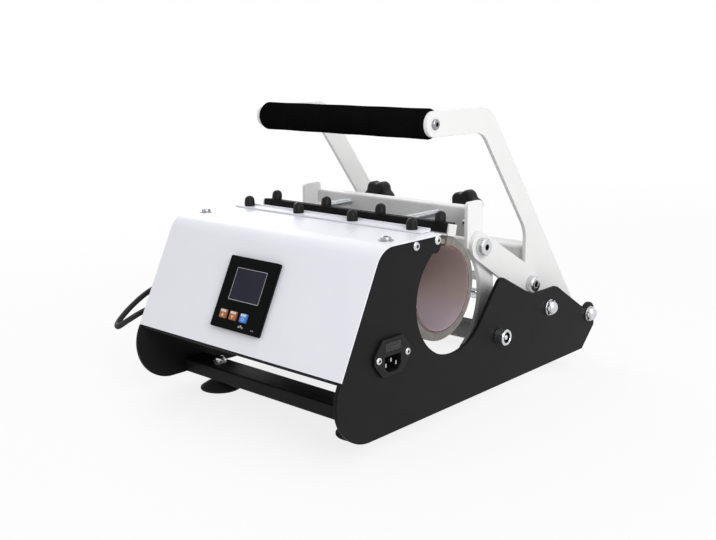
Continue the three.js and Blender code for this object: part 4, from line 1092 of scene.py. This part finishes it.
handle = {"grip": (168.0, 274.8), "gripEnd": 12.4, "foam": 14.9, "rod": 6.0, "neck": 3.9,
          "arm": (114.0, 118.5), "foot": 13.2, "boss": 12.4, "slope": -52.8, "width": 25.2, "slotRun": 9.4,
          "slot": 5.7, "slotDrop": 0.4}


def foamFinish():
    # closed foam: small round cells over a soft unevenness
    material = plainFinish("grip_foam", "black_foam", 0.003, 0.005,
                           (0.85, 0.95), grain=300, specular=0.0)
    cells = addNode(material, "TexVoronoi", Vector=objectPlace(material), Scale=1100.0).outputs["Distance"]
    setShader(material, Normal=relief(material, cells, 0.6, 0.0004))
    return material


def makeHandle():
    grip, end, foot, (near, far) = (handle[key] for key in ("grip", "gripEnd", "foot", "arm"))
    slant, across = radians(handle["slope"]), radians(handle["slope"] + 90)
    between = cradle["between"]

    def edge(offset, z):  # a point at height z beside the pivot, on a line along the arm's slope
        y = handlePivot[0] + offset * cos(across)
        return (y + (z - handlePivot[1] - offset * sin(across)) / np.tan(slant), z)

    innerLine, frontEdge = foot - handle["width"], armLinkPin[0] - 3
    drop = edge(innerLine, armLinkPin[1] + 60)
    bendZ = drop[1] + (frontEdge - drop[0]) * np.tan(slant)
    lower = np.degrees(np.arctan2(handlePivot[1] - armLinkPin[1], handlePivot[0] - armLinkPin[0]))
    shape = outline(
        arcRun(grip, end, 90, 270, 6),
        (*edge(innerLine, grip[1] - end), 25),
        (frontEdge, bendZ, 30),
        arcRun(armLinkPin, handle["boss"], 104, lower + 270, 6),
        arcRun(handlePivot, foot, lower - 90, handle["slope"] + 90, 6),
        (*edge(foot, grip[1] + end), 28),
        steps=10,
    )
    (y, z), slot = armLinkPin, handle["slot"]
    z -= handle["slotDrop"]
    slotLoop = np.vstack((arcRun((y, z), slot, 90, 270, 12),
                          arcRun((y + handle["slotRun"], z), slot, -90, 90, 12)))
    arm = plate([shape, circle(grip, 4.2), circle(handlePivot, 5.1), slotLoop], near, far, 0.5)
    addPair("arm", arm, "arm_coat", "handle_arm", "handle")
    r, bore = handle["foam"], handle["rod"] + 0.3
    foam = softened([(bore, -between), (r - 2, -between, 1), (r, -110.9, 3), (r, 110.9, 3),
                     (r - 2, between, 1), (bore, between), (bore, -between)], 0.2, 6)
    # the sleeve is a little uneven along its run
    along = np.linspace(-110, 110, 60)
    swell = np.column_stack((r - 0.18 + 0.12 * np.cos(along / 9), along))
    foam = np.vstack((foam[foam[:, 1] < -110.2], swell, foam[foam[:, 1] > 110.2], foam[:1]))
    addPiece("grip_sleeve", turned(foam, grip, sides=48), "grip_foam", "handle_grip", "handle",
             weighted=False)
    head = screwHead(5.2, 2.6, 2.4, 1.8, grip, far + 0.3, start=2, dome=0.6)
    thick, neck, step, tip = handle["rod"], handle["neck"], between + 0.1, far + 1
    bar = turned([(0, -tip), (neck, -tip), (neck, -step), (thick, -step), (thick, step), (neck, step),
                  (neck, tip), (0, tip)], grip)
    addPiece("grip_bar", bar + head + mirrored(head), ("dull_steel", "recess_painted_shade"), "grip_rod", "handle",
             weighted=False)
    face, top = armLinkPin[0] + 2, armLinkPin[1] + 40.6
    path = outline((face, top - 26), (face, top, 4), (face + 28, top, 4), (face + 28, top - 26), closed=False)
    addPiece("cross_tie", bentSheet(path, -2.5, between, 0.35), "arm_coat", "handle_cross_tie", "handle")


makeLinks()
foamFinish()
makeHandle()
print("handle hung")


# Small fastenings and trim on the base
trim = {"plateScrews": ((107.0, 169.8), (138.6, 170.8)), "coverScrews": ((-127.0, 86.5), (127.0, 86.5)),
        "stop": ((203.0, 52.0), (20.0, 6.0), 133.5)}


def makeTrim():
    top, inner, steel = box["top"], box["half"], ("zinc_steel", "recess_painted_shade")
    shapes = []
    for place in trim["plateScrews"]:
        head = screwHead(4.3, 2.4, 1.7, 1.5, place, outer, start=4.5)
        shapes += head + mirrored(head)
    addPiece("plate_screws", shapes, steel, weighted=False)
    shapes = []
    for place in trim["coverScrews"]:
        shapes += washer(7.2, 2.2, top, top + 0.9, place, "z")
        shapes += screwHead(5.0, 3.0, 2.2, 2.0, place, top + 0.9, "z", start=2.5)
    addPiece("cover_screws", shapes, ("dull_steel", "recess_painted_shade"), weighted=False)
    at, size, near = trim["stop"]
    stop = plate([rectangle(at, size, 1)], near, inner + 0.1, 0.5)
    addPiece("frame_stops", stop + mirrored(stop), "rubber_black")
    collar = softened([(4, 135), (9, 135), (9, inner), (6.2, inner), (6.2, outer + 0.3), (9, outer + 0.3),
                       (8.6, 146.6), (6.8, 147.9), (4, 147.9), (4, 135)], 0.3)
    gland = turned(collar, side["leadHole"], sides=36)
    addPiece("lead_gland", mirrored(gland), "rubber_black", "lead_grommet", weighted=False)


makeTrim()
print("trim added")


# Floor, backdrop and light
studio = {"floor": 0.8, "world": 0.52, "paper": 0.82, "fade": (0.6, 2.0), "half": 30.0, "aim": (0, 0, 0.12),
          "lamps": {"right_lamp": ((2.0, -0.8, 1.3), 1.3, 33.0), "top_lamp": ((0.1, 0.3, 2.0), 1.5, 9.0),
                    "front_lamp": ((-1.3, -2.0, 1.1), 1.2, 4.0), "left_lamp": ((-1.9, 0.9, 1.2), 1.3, 20.0)}}


def addLamp(name, place, size, power):
    lamp = addObject(name, bpy.data.lights.new(name, "AREA"))
    lamp.data.shape, lamp.data.size, lamp.data.energy = "DISK", size, power
    lamp.location = place
    lamp.rotation_mode = "QUATERNION"
    lamp.rotation_quaternion = (Vector(studio["aim"]) - Vector(place)).to_track_quat("-Z", "Y")


def seenDirectly(owner):
    # 1 for rays from the camera and for mirror-like or transmitted ones, else 0
    path = addNode(owner, "LightPath")
    last = path.outputs["Is Camera Ray"]
    for key in ("Is Glossy Ray", "Is Transmission Ray"):
        last = maths(owner, "MAXIMUM", last, path.outputs[key])
    return last


def paperFinish():
    # white paper: away from the press its own glow takes over, so that it meets the backdrop without a line
    paper = bpy.data.materials.new("paper")
    paper.use_nodes = True
    nodes = paper.node_tree.nodes
    setShader(paper, Base_Color=[studio["floor"]] * 3, Roughness=0.9, Specular_IOR_Level=0.0)
    away = addNode(paper, "VectorMath", operation="LENGTH", Vector=objectPlace(paper)).outputs["Value"]
    share = ramp(paper, away, *studio["fade"], studio["paper"], 1.0, "SMOOTHSTEP")
    mix = addNode(paper, "MixShader")
    seen, glow = maths(paper, "MULTIPLY", share, seenDirectly(paper)), addNode(paper, "Emission").outputs[0]
    for socket, value in zip(mix.inputs, (seen, nodes["Principled BSDF"].outputs[0], glow)):
        feed(paper, socket, value)
    feed(paper, nodes["Material Output"].inputs["Surface"], mix.outputs[0])
    return paper


def makeStudio():
    mesh, half = bpy.data.meshes.new("floor"), studio["half"]
    mesh.from_pydata([(-half, -half, 0), (half, -half, 0), (half, half, 0), (-half, half, 0)], [],
                     [(0, 1, 2, 3)])
    mesh.materials.append(paperFinish())
    floor = addObject("floor", mesh)
    world = bpy.data.worlds.new("studio")
    bpy.context.scene.world = world
    world.use_nodes = True
    back = world.node_tree.nodes["Background"]
    feed(world, back.inputs["Color"], (1, 1, 1))
    feed(world, back.inputs["Strength"], ramp(world, seenDirectly(world), 0, 1, studio["world"]))
    for name, (place, size, power) in studio["lamps"].items():
        addLamp(name, place, size, power)
    bpy.context.scene.view_settings.view_transform = "Standard"


makeStudio()
print("studio lit")
